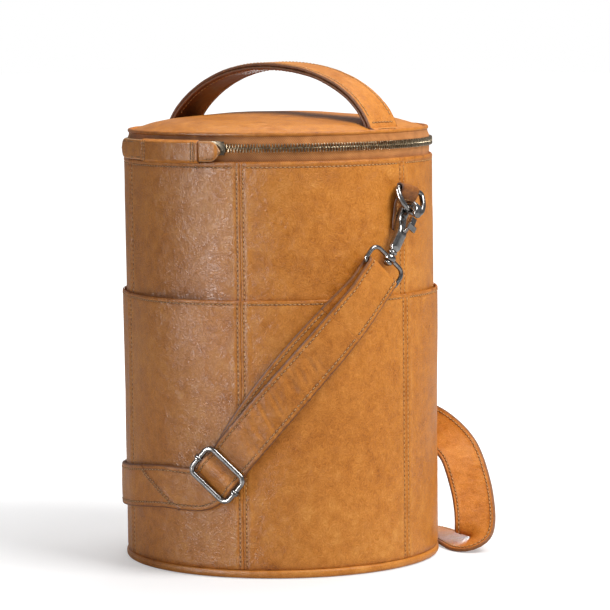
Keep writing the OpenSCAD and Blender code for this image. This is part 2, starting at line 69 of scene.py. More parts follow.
BUCKLE_W, BUCKLE_H, BUCKLE_WIRE, BAR_DROP, BAR_R = 35.0, 22.6, 1.7, 3.4, 1.1
BUCKLE_TILT = STRAP_TILT - 0.5
SEAM_AZ, SIDE_SEAM = 28.5, 93.5
SEAMS = [-SEAM_AZ, SEAM_AZ, SIDE_SEAM, 180 - SEAM_AZ, 180 + SEAM_AZ, 360 - SIDE_SEAM, 360 - SEAM_AZ]
DEG_MM = BODY_R * math.pi / 180
UP = np.array([0, 0, 1.0])
SIDES = ((False, "right"), (True, "left"))

# Stitches: distance from one to the next, length and thread radius
SADDLE = dict(pitch=3.3, long=2.5, r=0.4)
SEAM_STITCH = dict(pitch=3.3, long=2.5, r=0.42)
CROSS = dict(pitch=3.1, long=2.3, r=0.38)
SHORT = dict(pitch=3.0, long=2.2, r=0.36)
FINE = dict(pitch=2.3, long=1.8, r=0.26)


# ------------------------------------------------------------------ points and noise
def polar(az, r, z):
    az, r, z = np.broadcast_arrays(*(np.asarray(x, float) for x in (az, r, z)))
    a = np.radians(az)
    return np.stack([r * np.sin(a), -r * np.cos(a), z], -1)


def unit(v):
    return v / np.maximum(np.linalg.norm(v, axis=-1, keepdims=True), 1e-12)


def smooth(t):
    t = np.clip(t, 0, 1)
    return t * t * (3 - 2 * t)


def bell(x, wide):
    return np.exp(-((x / wide) ** 2))


def squarer(c, power):
    """A sine or cosine bent so that the circle it draws gets squarer as the power falls under 1."""
    return np.sign(c) * np.abs(c) ** power


def circle(count):
    return np.linspace(0, 2 * math.pi, count, endpoint=False)


def nearest(values, target):
    """Index of the value nearest to a target."""
    return int(np.abs(values - target).argmin())


def ladder(*stretches):
    """Values through stretches of (start, end, step), each start given once."""
    out = []
    for lo, hi, step in stretches:
        n = max(1, int(round((hi - lo) / step)))
        out.append(np.linspace(lo, hi, n, endpoint=False))
    return np.concatenate([*out, [stretches[-1][1]]])


def lattice(q, seed):
    """Random values from -1 to 1 at whole-number points."""
    n = (q[..., 0] * 73856093) ^ (q[..., 1] * 19349663) ^ (q[..., 2] * 83492791) ^ (seed * 104729 + 12345)
    n = ((n ^ (n >> 13)) & 0x7FFFFFFF) * 1274126177 & 0x7FFFFFFF
    n = (n ^ (n >> 15)) * 668265263 & 0x7FFFFFFF
    return ((n >> 8) & 0xFFFF) / 32767.5 - 1


def noise(p, size, seed=0):
    """Smooth noise from -1 to 1, with features of a size in millimetres or of three sizes, one an axis."""
    p = np.asarray(p, float) / np.asarray(size, float)
    q = np.floor(p).astype(np.int64)
    f = smooth(p - q)
    total = 0
    for corner in range(8):
        d = np.array([corner & 1, corner >> 1 & 1, corner >> 2 & 1])
        total = total + np.prod(np.where(d, f, 1 - f), -1) * lattice(q + d, seed)
    return total


def creases(s, h, seed, count, angle=0, spread=25, long=(10, 40), wide=(0.5, 1.4), deep=(0.15, 0.4)):
    """Sum of shallow curved furrows over flat coordinates s, h, as heights of zero or less."""
    rng = np.random.default_rng(seed)
    s0, s1, h0, h1 = s.min(), s.max(), h.min(), h.max()
    total = np.zeros_like(s)
    for _ in range(count):
        cs, ch = rng.uniform(s0, s1), rng.uniform(h0, h1)
        a = math.radians(rng.normal(angle, spread))
        half, w, d, bow = rng.uniform(*long), rng.uniform(*wide), rng.uniform(*deep), rng.normal(0, 0.12)
        x = (s - cs) * math.cos(a) + (h - ch) * math.sin(a)
        y = -(s - cs) * math.sin(a) + (h - ch) * math.cos(a)
        y = y - bow * x * x / half - 0.5 * np.sin(x * 0.7 + cs)
        total -= d * bell(y, w) * np.clip(1 - (x / half) ** 2, 0, 1)
    return total


# ------------------------------------------------------------------ meshes
def make(name, verts, faces, mats, body=None, slot=None, replaces=(), mask=None, flat=None, tone=None,
         soft=True):
    """A piece from points in millimetres. mask gives each face's material; flat and the tone values are per
    point, the tone being random variation together with painted shade in seams, furrows, creases, edges and
    recesses.
    """
    mesh = bpy.data.meshes.new(name)
    faces = faces if isinstance(faces, list) else faces.tolist()
    mesh.from_pydata((np.asarray(verts) * 0.001).tolist(), [], faces)
    mesh.validate()
    for m in mats:
        mesh.materials.append(m)
    if mask is not None:
        mesh.polygons.foreach_set("material_index", np.asarray(mask, np.int32))
    if soft:
        mesh.polygons.foreach_set("use_smooth", np.ones(len(mesh.polygons), bool))
    if flat is not None:
        layer = mesh.attributes.new("flat", "FLOAT_VECTOR", "POINT")
        layer.data.foreach_set("vector", np.pad(flat * 0.001, ((0, 0), (0, 1))).astype(np.float32).ravel())
    # Per point: random tone and painted shade, which the leather and cloth materials add to their colour
    layer = mesh.attributes.new("tone", "FLOAT", "POINT")
    layer.data.foreach_set("value", (np.zeros(len(verts)) if tone is None else tone).astype(np.float32))
    obj = bpy.data.objects.new(name, mesh)
    bpy.context.scene.collection.objects.link(obj)
    if body:
        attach(obj, body)
    if replaces:
        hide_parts(*replaces)
    return obj


def normals(P, wrap=False):
    """Unit normals of a grid, on the side from which its columns run right when its rows run up."""
    Q = np.concatenate([P[:, -2:], P, P[:, :2]], 1) if wrap else P
    n = unit(np.cross(np.gradient(Q, axis=1), np.gradient(Q, axis=0)))
    return n[:, 2:-2] if wrap else n


def slab(P, t, N=None, wrap=False, rings=3, flat=None, tone=None):
    """What make() needs for a sheet: face P, thickness t behind it, round edges of that many rings."""
    rows, cols = P.shape[:2]
    N = normals(P, wrap) if N is None else N
    t = np.broadcast_to(np.asarray(t, float), (rows, cols))[..., None]
    count = rows * cols
    grid = np.arange(count).reshape(rows, cols)
    right = np.roll(grid, -1, 1) if wrap else grid[:, 1:]
    left = grid if wrap else grid[:, :-1]
    outer = np.stack([left[:-1], right[:-1], right[1:], left[1:]], -1).reshape(-1, 4)
    flatN, flatP, flatT = N.reshape(-1, 3), P.reshape(-1, 3), t.reshape(-1, 1)
    points, faces = [flatP, flatP - flatN * flatT], [outer, outer[:, ::-1] + count]
    masks = [np.zeros(len(outer), int), np.full(len(outer), 2)]
    picks = [np.arange(count), np.arange(count)]
    up, side = np.zeros_like(P), np.zeros_like(P)
    up[0], up[-1] = P[0] - P[1], P[-1] - P[-2]
    if wrap:
        loops = [grid[0], grid[-1, ::-1]]
    else:
        side[:, 0], side[:, -1] = P[:, 0] - P[:, 1], P[:, -1] - P[:, -2]
        loops = [np.concatenate([grid[0, :-1], grid[:-1, -1], grid[-1, :0:-1], grid[:0:-1, 0]])]
    out = (unit(up) * (np.linalg.norm(up, axis=-1, keepdims=True) > 0)
           + unit(side) * (np.linalg.norm(side, axis=-1, keepdims=True) > 0)).reshape(-1, 3)
    start = 2 * count
    for loop in loops:
        E, n, h = out[loop], flatN[loop], flatT[loop] / 2
        E = unit(E - n * (E * n).sum(-1, keepdims=True))
        previous = loop
        for k in range(1, rings + 2):
            if k <= rings:
                a = math.pi * k / (rings + 1)
                points.append(flatP[loop] - n * h + n * h * math.cos(a) + E * h * math.sin(a))
                picks.append(loop)
                current = start + np.arange(len(loop))
                start += len(loop)
            else:
                current = loop + count
            faces.append(np.stack([previous, current, np.roll(current, -1), np.roll(previous, -1)], -1))
            masks.append(np.ones(len(loop), int))
            previous = current
    pick = np.concatenate(picks)
    flat = None if flat is None else np.stack(flat, -1).reshape(-1, 2)[pick]
    tone = None if tone is None else np.broadcast_to(tone, (rows, cols)).reshape(-1)[pick]
    return dict(verts=np.concatenate(points), faces=np.concatenate(faces), mask=np.concatenate(masks),
                flat=flat, tone=tone)


def sheet(name, P, t, mats, body, slot, replaces, **shape):
    """A piece that is one slab. Its materials are those of its face, its edge and its back."""
    return make(name, mats=mats, body=body, slot=slot, replaces=replaces, **slab(P, t, **shape))


def loft(rings, closed=False, caps=True):
    """(points, faces) through rings of points, each a closed outline, clockwise seen from the next ring."""
    n, m = rings.shape[:2]
    grid = np.arange(n * m).reshape(n, m)
    nxt = np.roll(grid, -1, 0) if closed else grid[1:]
    cur = grid if closed else grid[:-1]
    faces = np.stack([cur, np.roll(cur, -1, 1), np.roll(nxt, -1, 1), nxt], -1).reshape(-1, 4).tolist()
    if caps and not closed:
        faces += [grid[0, ::-1].tolist(), grid[-1].tolist()]
    return rings.reshape(-1, 3), faces


def joined(parts):
    """One mesh's points and faces from several."""
    verts, faces, start = [], [], 0
    for v, f in parts:
        verts.append(v)
        faces += [[i + start for i in one] for one in f]
        start += len(v)
    return np.concatenate(verts), faces


def run(points):
    """Distance along a line of points."""
    step = np.linalg.norm(np.diff(points, axis=0), axis=1)
    return np.concatenate([[0], np.cumsum(step)])


def along(at, s, values):
    """Rows of values read off at distances along a line whose own distances are s."""
    return np.stack([np.interp(at, s, values[:, i]) for i in range(values.shape[1])], -1)


def resample(points, step, *others):
    """Points at equal steps along a line, with others (such as normals) carried along."""
    s = run(points)
    at = np.linspace(0, s[-1], max(2, int(round(s[-1] / step)) + 1))
    return [along(at, s, x) for x in (points, *others)]


def wire(points, r, closed=False, sides=10):
    """A round rod along a line of points, carried without twist."""
    P = np.asarray(points, float)
    T = unit(np.roll(P, -1, 0) - np.roll(P, 1, 0)) if closed else unit(np.gradient(P, axis=0))
    n = unit(np.cross(T[0], [0.31, 0.57, 0.76]))
    rings = []
    turn = circle(sides)[:, None]
    for p, t in zip(P, T):
        n = unit(n - t * (n @ t))
        rings.append(p + r * (np.cos(turn) * n + np.sin(turn) * np.cross(t, n)))
    return loft(np.stack(rings), closed)


def stitch_template(sides=6, mark_sides=12):
    """A stitch of unit half length and radius with pointed ends, and a low dark oval disc under it: painted
    shade of the pit that the stitch is pulled into.
    """
    x = np.array([-0.93, -0.62, 0, 0.62, 0.93])
    radius = np.array([0.55, 0.93, 1, 0.93, 0.55])
    turn = circle(sides)
    rings = np.stack([np.stack([np.full(sides, a), r * np.cos(turn), r * np.sin(turn)], -1)
                      for a, r in zip(x, radius)])
    v, f = loft(rings, caps=False)
    first, last, count = len(v), len(v) + 1, len(v) - sides
    v = np.concatenate([v, [[-1, 0, 0], [1, 0, 0]]])
    f += [[first, (i + 1) % sides, i] for i in range(sides)]
    f += [[last, count + i, count + (i + 1) % sides] for i in range(sides)]
    top, low = len(v), len(v) + mark_sides
    f.append(list(range(top, low)))
    f.append(list(range(low + mark_sides - 1, low - 1, -1)))
    for i in range(mark_sides):
        after = (i + 1) % mark_sides
        f.append([top + i, low + i, low + after, top + after])
    ring = circle(mark_sides)
    return v, f, np.stack([np.cos(ring), np.sin(ring)], -1)


class Thread:
    """Collects stitches and makes one piece of them."""

    STITCH, FACES, MARK = stitch_template()
    END, MARK_LONG, MARK_WIDE, MARK_TOP, MARK_LOW = 0.5, 0.34, 0.24, 0.03, 0.5

    def __init__(self, name, body):
        self.name, self.body, self.parts = name, body, []

    def row(self, line, normal, pitch, long, r, lift=0.16):
        """Stitches along a line on a surface whose normals are given."""
        P, N = resample(np.asarray(line, float), 0.5, np.asarray(normal, float))
        s = run(P)
        if s[-1] < pitch:
            return
        count = int((s[-1] - 2 * self.END) // pitch)
        at = (s[-1] - (count - 1) * pitch) / 2 + pitch * np.arange(count)
        T, n = unit(along(at, s, np.gradient(P, axis=0))), unit(along(at, s, N))
        b = np.cross(n, T)
        x, y, z = self.STITCH.T
        arch = z * r + (lift - 0.34 * np.abs(x) ** 3)
        # The dark disc round each stitch is painted shade of its pit, a little longer and wider than the
        # stitch
        marks = len(self.MARK)
        mark_x, mark_y = self.MARK[:, 0] * (long / 2 + self.MARK_LONG), self.MARK[:, 1] * (r + self.MARK_WIDE)
        x, y = np.concatenate([x * long / 2, mark_x, mark_x]), np.concatenate([y * r, mark_y, mark_y])
        discs = [np.full(marks, lift - self.MARK_TOP), np.full(marks, lift - self.MARK_LOW)]
        arch = np.concatenate([arch, *discs])
        self.parts.append(along(at, s, P)[:, None] + T[:, None] * x[None, :, None]
                          + b[:, None] * y[None, :, None] + n[:, None] * arch[None, :, None])

    def build(self, slot, blend=None):
        pts = np.concatenate(self.parts)
        count, size = pts.shape[:2]
        faces = [[j + i * size for j in one] for i in range(count) for one in self.FACES]
        # Faces of the dark discs get the painted-shade material, the stitches get the thread
        painted_shade_faces = [int(min(one) >= len(self.STITCH)) for one in self.FACES] * count
        body = None if blend else self.body
        obj = make(self.name, pts.reshape(-1, 3), faces, [thread, stitch_painted_shade], body, slot, mask=painted_shade_faces)
        if blend:
            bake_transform(obj)


# ------------------------------------------------------------------ materials
def node(tree, kind, values=None, **settings):
    n = tree.nodes.new("ShaderNode" + kind)
    for key, value in settings.items():
        setattr(n, key, value)
    for key, value in (values or {}).items():
        if isinstance(value, bpy.types.NodeSocket):
            tree.links.new(value, n.inputs[key])
        else:
            n.inputs[key].default_value = value
    return n


def math_node(tree, kind, *values):
    return node(tree, "Math", dict(enumerate(values)), operation=kind).outputs[0]


def weighted(tree, start, *terms):
    """A start plus terms of (socket, weight)."""
    for socket, weight in terms:
        start = math_node(tree, "MULTIPLY_ADD", socket, weight, start)
    return start


def ramp(tree, fac, *stops):
    """Colour or level by stops of (position, colour or level)."""
    n = node(tree, "ValToRGB", {"Fac": fac})
    e = n.color_ramp.elements
    while len(e) < len(stops):
        e.new(0.5)
    for spot, (at, colour) in zip(e, stops):
        spot.position = at
        spot.color = (*colour, 1) if hasattr(colour, "__len__") else (colour, colour, colour, 1)
    return n.outputs["Color"]


def clouds(tree, where, scale, detail, rough=None):
    values = {"Vector": where, "Scale": scale, "Detail": detail}
    if rough is not None:
        values["Roughness"] = rough
    return node(tree, "TexNoise", values)


def bump(tree, height, strength, distance, under=None):
    values = {"Height": height, "Strength": strength, "Distance": distance}
    if under is not None:
        values["Normal"] = under
    return node(tree, "Bump", values).outputs[0]


def material(name, base=(0.5, 0.5, 0.5), rough=0.5, metallic=0.0, **sockets):
    """A new material, its node tree and the inputs of its shader."""
    mat = bpy.data.materials.new(name)
    mat.use_nodes = True
    tree = mat.node_tree
    shader = tree.nodes["Principled BSDF"]
    shader.inputs["Base Color"].default_value = (*base, 1)
    shader.inputs["Roughness"].default_value = rough
    shader.inputs["Metallic"].default_value = metallic
    for key, value in sockets.items():
        shader.inputs[key.replace("_", " ")].default_value = value
    return mat, tree, shader.inputs


def object_place(tree):
    return node(tree, "TexCoord").outputs["Object"]


def attribute(tree, name, out="Fac"):
    return node(tree, "Attribute", attribute_name=name).outputs[out]


def leather(name, stops, rough, pebble, wrinkle, scale=1.0):
    """Waxed leather: dye that varies, pebbled grain, fine wrinkles that pull the colour paler, and the painted
    shade that each point's tone brings in.
    """
    mat, tree, inputs = material(name, Specular_IOR_Level=0.32)
    where = object_place(tree)
    warp = clouds(tree, where, 60.0 * scale, 3.0)
    shifted = node(tree, "MixRGB", {"Fac": 0.022, "Color1": where, "Color2": warp.outputs["Color"]},
                   blend_type="LINEAR_LIGHT").outputs[0]
    slow = clouds(tree, where, 13.0, 4.0, 0.62).outputs["Fac"]
    mottle = clouds(tree, where, 120.0, 6.0, 0.68).outputs["Fac"]
    lines = node(tree, "TexVoronoi", {"Vector": shifted, "Scale": 330.0 * scale}, feature="DISTANCE_TO_EDGE")
    line = ramp(tree, lines.outputs["Distance"], (0.0, 0.0), (0.10, 0.75), (0.3, 1.0))
    cells = node(tree, "TexVoronoi", {"Vector": shifted, "Scale": 780.0 * scale}, feature="F1")
    grain = cells.outputs["Distance"]
    fine = clouds(tree, where, 1500.0 * scale, 2.0).outputs["Fac"]
    patch = ramp(tree, clouds(tree, where, 22.0, 2.0).outputs["Fac"], (0.35, 0.25), (0.62, 1.0))
    # The per-point tone adds random variation and painted shade in seams, creases and along edges to the
    # colour
    level = weighted(tree, attribute(tree, "tone"), (slow, 0.5), (mottle, 0.74), (grain, 0.26), (line, -0.13))
    level = math_node(tree, "SUBTRACT", level, 0.135)
    tree.links.new(ramp(tree, level, *stops), inputs["Base Color"])
    tree.links.new(ramp(tree, mottle, (0.3, rough[0]), (0.72, rough[1])), inputs["Roughness"])
    folds = math_node(tree, "MULTIPLY", line, patch)
    pebbles = math_node(tree, "MULTIPLY", grain, -pebble)
    height = weighted(tree, pebbles, (fine, 0.22 * pebble), (folds, wrinkle))
    undulation = clouds(tree, where, 150.0 * scale, 4.0, 0.55).outputs["Fac"]
    relief = bump(tree, undulation, 0.35, 0.0012, under=bump(tree, height, 0.5, 0.0005))
    tree.links.new(relief, inputs["Normal"])
    return mat


def metal(name, dark, pale, rough, relief=0.1):
    mat, tree, inputs = material(name, metallic=1.0)
    where = object_place(tree)
    cloud = clouds(tree, where, 260.0, 5.0, 0.65).outputs["Fac"]
    rub = clouds(tree, where, 700.0, 3.0).outputs["Fac"]
    tree.links.new(ramp(tree, cloud, (0.3, dark), (0.66, pale)), inputs["Base Color"])
    tree.links.new(ramp(tree, rub, (0.3, rough[0]), (0.7, rough[1])), inputs["Roughness"])
    tree.links.new(bump(tree, rub, relief, 0.0002), inputs["Normal"])
    return mat


def cloth(name, dark, pale, pitch=0.55, twill=True, sheen=0.25):
    """Woven tape or lining, patterned by the flat coordinates of its sheet."""
    mat, tree, inputs = material(name, rough=0.85, Specular_IOR_Level=0.25, Sheen_Weight=sheen)
    turn, count, weft_share = math.radians(38 if twill else 0), 1000 / pitch, 0.35 if twill else 1.0
    laid = node(tree, "Mapping", {"Vector": attribute(tree, "flat", "Vector"), "Rotation": (0, 0, turn),
                                  "Scale": (count, count, 1)}).outputs[0]
    warp, weft = (node(tree, "TexWave", {"Vector": laid, "Scale": 0.159, "Distortion": 0.6, "Detail": 1.0},
                       bands_direction=way, wave_profile="SIN").outputs["Fac"] for way in "XY")
    both = math_node(tree, "MULTIPLY_ADD", weft, weft_share, warp)
    cloud = clouds(tree, object_place(tree), 120.0, 4.0).outputs["Fac"]
    level = weighted(tree, math_node(tree, "MULTIPLY", both, 0.3), (cloud, 0.7))
    # The per-point tone adds painted shade where a zip tape goes in under the leather, and random tone on the
    # lining
    level = math_node(tree, "ADD", level, attribute(tree, "tone"))
    tree.links.new(ramp(tree, level, (0.25, dark), (0.8, pale)), inputs["Base Color"])
    tree.links.new(bump(tree, both, 0.6, 0.0003), inputs["Normal"])
    return mat


def plain(name, dark, pale, size, rough=0.8):
    """Board, foam, thread or painted edge: a mottled colour with a light rough surface."""
    mat, tree, inputs = material(name, rough=rough, Specular_IOR_Level=0.35)
    cloud = clouds(tree, object_place(tree), size, 6.0, 0.65).outputs["Fac"]
    tree.links.new(ramp(tree, cloud, (0.3, dark), (0.7, pale)), inputs["Base Color"])
    tree.links.new(bump(tree, cloud, 0.4, 0.0004), inputs["Normal"])
    return mat


TAN = [(0.18, (0.26, 0.070, 0.006)), (0.40, (0.50, 0.163, 0.018)), (0.60, (0.63, 0.228, 0.032)),
       (0.86, (0.77, 0.34, 0.07))]
TAN_SHADE = [(0.15, (0.05, 0.016, 0.005)), (0.40, (0.13, 0.040, 0.009)), (0.62, (0.20, 0.066, 0.015)),
             (0.9, (0.30, 0.11, 0.03))]
TAN_DARK = [(0.15, (0.10, 0.030, 0.006)), (0.40, (0.24, 0.078, 0.014)), (0.62, (0.36, 0.125, 0.025)),
            (0.9, (0.50, 0.20, 0.05))]
hide = leather("tan_leather", TAN, (0.31, 0.45), pebble=0.7, wrinkle=0.45)
hide_smooth = leather("tan_leather_smooth", TAN, (0.30, 0.44), pebble=0.4, wrinkle=0.25, scale=1.2)
hide_dark = leather("tan_leather_dark", TAN_DARK, (0.42, 0.6), pebble=0.4, wrinkle=0.3)
# A darker copy of the tan for the handle's underside: painted shade
hide_painted_shade = leather("inner_leather_painted_shade", TAN_SHADE, (0.42, 0.6), pebble=0.4, wrinkle=0.3)
hide_strap = leather("strap_leather", TAN, (0.34, 0.48), pebble=0.5, wrinkle=0.35, scale=1.2)
suede = plain("leather_back", (0.30, 0.15, 0.065), (0.48, 0.27, 0.13), size=700.0, rough=0.95)
edge = plain("leather_edge", (0.085, 0.028, 0.009), (0.20, 0.070, 0.020), size=500.0, rough=0.5)
edge_mid = plain("painted_edge", (0.17, 0.060, 0.016), (0.31, 0.120, 0.034), size=500.0, rough=0.5)
pale_edge = plain("cut_edge", (0.42, 0.20, 0.075), (0.62, 0.36, 0.17), size=500.0, rough=0.6)
thread = plain("thread", (0.50, 0.235, 0.065), (0.74, 0.41, 0.15), size=1400.0, rough=0.55)
# Near-black brown of the discs under the stitches: painted shade of the stitch pits
stitch_painted_shade = plain("stitch_pit_painted_shade", (0.09, 0.030, 0.008), (0.17, 0.060, 0.017), size=900.0, rough=0.6)
tape = cloth("zip_tape", (0.36, 0.125, 0.032), (0.70, 0.30, 0.09), sheen=0.08)
lining = cloth("lining_fabric", (0.20, 0.14, 0.085), (0.38, 0.29, 0.19), pitch=0.8, twill=False)
steel = metal("dark_nickel", (0.17, 0.165, 0.16), (0.34, 0.33, 0.32), rough=(0.15, 0.26), relief=0.04)
brass = metal("aged_brass", (0.22, 0.165, 0.10), (0.66, 0.54, 0.37), rough=(0.20, 0.36))
# Brass darkened for the slider, which sits in the shade under the sleeve: painted shade
brass_painted_shade = metal("slider_brass_painted_shade", (0.05, 0.042, 0.032), (0.17, 0.14, 0.10), rough=(0.28, 0.42))
board = plain("board", (0.42, 0.32, 0.20), (0.58, 0.46, 0.31), size=160.0)
foam = plain("foam", (0.62, 0.58, 0.46), (0.76, 0.72, 0.60), size=300.0, rough=0.95)
LEAF = [hide_smooth, edge, suede]
STRAP = [hide_strap, edge_mid, hide_strap]


# ------------------------------------------------------------------ camera, light and floor
CAMERA_AZ, CAMERA_BACK, CAMERA_UP = 42.5, 2.2, 0.3927
CAMERA_PITCH, CAMERA_ROLL, CAMERA_SHIFT = 0.0971, -0.012, 0.0409
FOCAL_SHARE = 3079.5 / 610
FLOOR_GLOW, FAR_GLOW, WORLD_GLOW, GLOW_REACH = 0.40, 1.0, 0.25, 1.6
FLOOR_HALF = 12.0


def make_camera():
    data = bpy.data.cameras.new("camera")
    data.sensor_width = 36.0
    data.lens = 36.0 * FOCAL_SHARE
    data.shift_x = CAMERA_SHIFT
    data.clip_start, data.clip_end = 0.05, 100
    cam = bpy.data.objects.new("camera", data)
    bpy.context.scene.collection.objects.link(cam)
    out = Vector(polar(CAMERA_AZ, 1, 0))
    side = Vector(polar(CAMERA_AZ + 90, 1, 0))
    ahead = -out * math.cos(CAMERA_PITCH) - Vector((0, 0, math.sin(CAMERA_PITCH)))
    up = side.cross(ahead)
    right = side * math.cos(CAMERA_ROLL) + up * math.sin(CAMERA_ROLL)
    up = right.cross(ahead)
    place = Matrix((right, up, -ahead)).transposed().to_4x4()
    place.translation = out * CAMERA_BACK + Vector((0, 0, CAMERA_UP))
    cam.matrix_world = place
    bpy.context.scene.camera = cam


def area_light(name, az, back, up, wide, tall, watts, only_gloss=False):
    data = bpy.data.lights.new(name, "AREA")
    data.shape, data.size, data.size_y, data.energy = "RECTANGLE", wide, tall, watts
    lamp = bpy.data.objects.new(name, data)
    bpy.context.scene.collection.objects.link(lamp)
    spot = Vector(polar(az, back, up))
    lamp.location = spot
    lamp.rotation_mode = "QUATERNION"
    lamp.rotation_quaternion = (Vector((0, 0, 0.15)) - spot).to_track_quat("-Z", "Y")
    lamp.visible_diffuse = not only_gloss


def make_world():
    world = bpy.data.worlds.new("studio")
    bpy.context.scene.world = world
    world.use_nodes = True
    tree = world.node_tree
    seen = node(tree, "LightPath").outputs["Is Camera Ray"]
    dim = (WORLD_GLOW, WORLD_GLOW, WORLD_GLOW * 1.03, 1)
    shade = node(tree, "MixRGB", {"Fac": seen, "Color1": dim, "Color2": (1.0, 1.0, 1.0, 1)})
    tree.links.new(shade.outputs[0], tree.nodes["Background"].inputs["Color"])


def make_floor():
    """Pale paper that turns white with distance, as a lit studio sweep does."""
    floor, tree, inputs = material("floor_paper", base=(0.65, 0.65, 0.65), rough=0.8, Specular_IOR_Level=0.1)
    fine = clouds(tree, object_place(tree), 3.0, 2.0).outputs["Fac"]
    grey = ramp(tree, fine, (0.3, (0.64, 0.64, 0.64)), (0.7, (0.66, 0.66, 0.66)))
    tree.links.new(grey, inputs["Base Color"])
    inputs["Emission Color"].default_value = (1, 1, 1, 1)
    seen = node(tree, "LightPath").outputs["Is Camera Ray"]
    away = node(tree, "VectorMath", {0: object_place(tree)}, operation="LENGTH").outputs["Value"]
    glow = ramp(tree, math_node(tree, "MULTIPLY", away, 1 / GLOW_REACH), (0.12, FLOOR_GLOW), (0.55, FAR_GLOW))
    tree.links.new(math_node(tree, "MULTIPLY", seen, glow), inputs["Emission Strength"])
    mesh = bpy.data.meshes.new("floor")
    corners = [(x * FLOOR_HALF, y * FLOOR_HALF, 0) for x, y in ((-1, -1), (1, -1), (1, 1), (-1, 1))]
    mesh.from_pydata(corners, [], [(0, 1, 2, 3)])
    mesh.materials.append(floor)
    obj = bpy.data.objects.new("floor", mesh)
    bpy.context.scene.collection.objects.link(obj)


bpy.context.scene.view_settings.view_transform = "Standard"
make_camera()
make_world()
area_light("key", 97, 1.2, 1.5, 0.8, 0.8, 30)
area_light("top", 200, 0.6, 1.9, 1.0, 1.0, 17)
area_light("strip", -7, 1.5, 0.4, 0.2, 1.4, 48, only_gloss=True)
area_light("rim", 221, 1.5, 0.14, 0.16, 0.26, 2.5, only_gloss=True)
make_floor()


# ------------------------------------------------------------------ walls and pockets
SEW_IN = 2.4


def seam_shape(d):
    """Height of the leather by distance from a seam that is sewn on both sides."""
    rise = 0.34 * bell(d - 0.9, 0.9) - 0.30 * bell(d - SEW_IN, 0.7)
    return rise - 0.22 * bell(d, 0.35) + 0.26 * bell(d - 4.8, 2.0)


def leather_waves(s, h, p, seed):
    """Undulation and creases of a hide panel."""
    wave = 0.36 * noise(p, 46, seed) + 0.13 * noise(p, 17, seed + 1)
    wave = wave + 0.035 * noise(p, 6, seed + 2) + 0.012 * noise(p, (3, 3, 1.6), seed + 3)
    lines = creases(s, h, seed, 34, angle=-12, spread=22, long=(10, 38), wide=(0.5, 1.1), deep=(0.03, 0.13))
    return wave + lines


def wall_shape(S, Z, d, waves, pucker):
    """(radius, tone) of a wall panel: flat behind the pocket, and sewn along its folded top. Its tone is
    painted shade in the top's stitch groove and along the top edge.
    """
    top = WALL_H - 0.6 - Z
    over = smooth((Z - (POCKET_H - 12)) / 8)
    R = BODY_R - 0.15 + over * (seam_shape(d) + waves + pucker)
    R = R - 0.34 * bell(top - 3.3, 0.8) + 0.18 * bell(top - 1.2, 1.2) - 0.3 * bell(top, 0.5)
    return R, -0.10 * bell(top - 3.4, 1.2) - 0.12 * bell(top, 0.9)


def pocket_shape(i, u, Z, d, waves, pucker):
    """(radius, tone) of a pocket: its mouth stands open in the middle, and its foot is held by the welt. Its
    tone is painted shade in the mouth's stitch groove, along its edge and at the foot by the welt.
    """
    mouth = FRONT_GAP if i in (1, 4) else SIDE_GAP
    inner = BODY_R + 0.35 + mouth * np.cos(np.pi / 2 * u) ** 2 * smooth((Z - 90) / (POCKET_H - 110))
    top, low = POCKET_H - 0.5 - Z, Z - RIM_H
    R = inner + POCKET_T + seam_shape(d) + waves * 0.9 + pucker
    R = R - 0.28 * bell(top - 2.3, 0.6) + 0.16 * bell(top - 0.9, 0.9) - 0.5 * bell(low, 1.6)
    R = np.maximum(R, inner + POCKET_T - 0.9)
    return R, -0.10 * bell(top - 2.4, 0.9) - 0.16 * bell(low, 3.0) - 0.14 * bell(top, 0.7)


def make_panel(i, kind):
    wall = kind == "wall"
    gap = 0.03 if wall else 0.05
    a0, a1 = SEAMS[i - 1] + gap, SEAMS[i] - gap
    half = (a1 - a0) / 2 * DEG_MM
    s = ladder((-half, -half + 8, 0.7), (-half + 8, half - 8, 1.3), (half - 8, half, 0.7))
    if wall:
        z = ladder((RIM_H + 0.3, 178, 18), (178, 278, 1.4), (278, WALL_H - 0.6, 0.7))
    else:
        z = ladder((RIM_H + 0.35, 20, 0.9), (20, POCKET_H - 8, 1.5), (POCKET_H - 8, POCKET_H - 0.5, 0.7))
    S, Z = np.meshgrid(s, z)
    d = half - np.abs(S)
    az = (a0 + a1) / 2 + S / DEG_MM
    p = polar(az, BODY_R, Z)
    waves = leather_waves(S, Z, p, 10 * i + (5 if wall else 0)) * (0.35 + 0.65 * smooth(d / 14))
    pucker = 0.12 * noise(np.stack([d, Z, 0 * Z + 31 * i], -1), (4, 3.4, 1), i + 60) * bell(d - 4, 4)
    R, tone = wall_shape(S, Z, d, waves, pucker) if wall else pocket_shape(i, S / half, Z, d, waves, pucker)
    # Painted shade at the seam's edge and in its stitch furrow, a little lighter on the swell beside it, and
    # random tone
    tone = tone - 0.05 * bell(d, 0.5) - 0.10 * bell(d - SEW_IN, 0.9) + 0.06 * bell(d - 5.5, 2.5)
    tone = tone + 0.03 * noise(p, 9, i + 80)
    P = polar(az, R, Z)
    thick = WALL_T - 0.2 if wall else POCKET_T - 0.1
    sheet("%s_leather_%d" % (kind, i), P, thick, [hide, hide, suede], "bag", "tan_leather",
          ["%s_panel_%d" % (kind, i)], flat=(S, Z), tone=tone)
    N = normals(P)
    upright = np.nonzero(z > POCKET_H - 2)[0] if wall else slice(None)
    for target in (-half + SEW_IN, half - SEW_IN):
        c = nearest(s, target)
        seams.row(P[upright, c], N[upright, c], **SEAM_STITCH)
    r = nearest(z, z[-1] - (3.3 if wall else 2.3))
    seams.row(P[r, 5:-5], N[r, 5:-5], **CROSS)


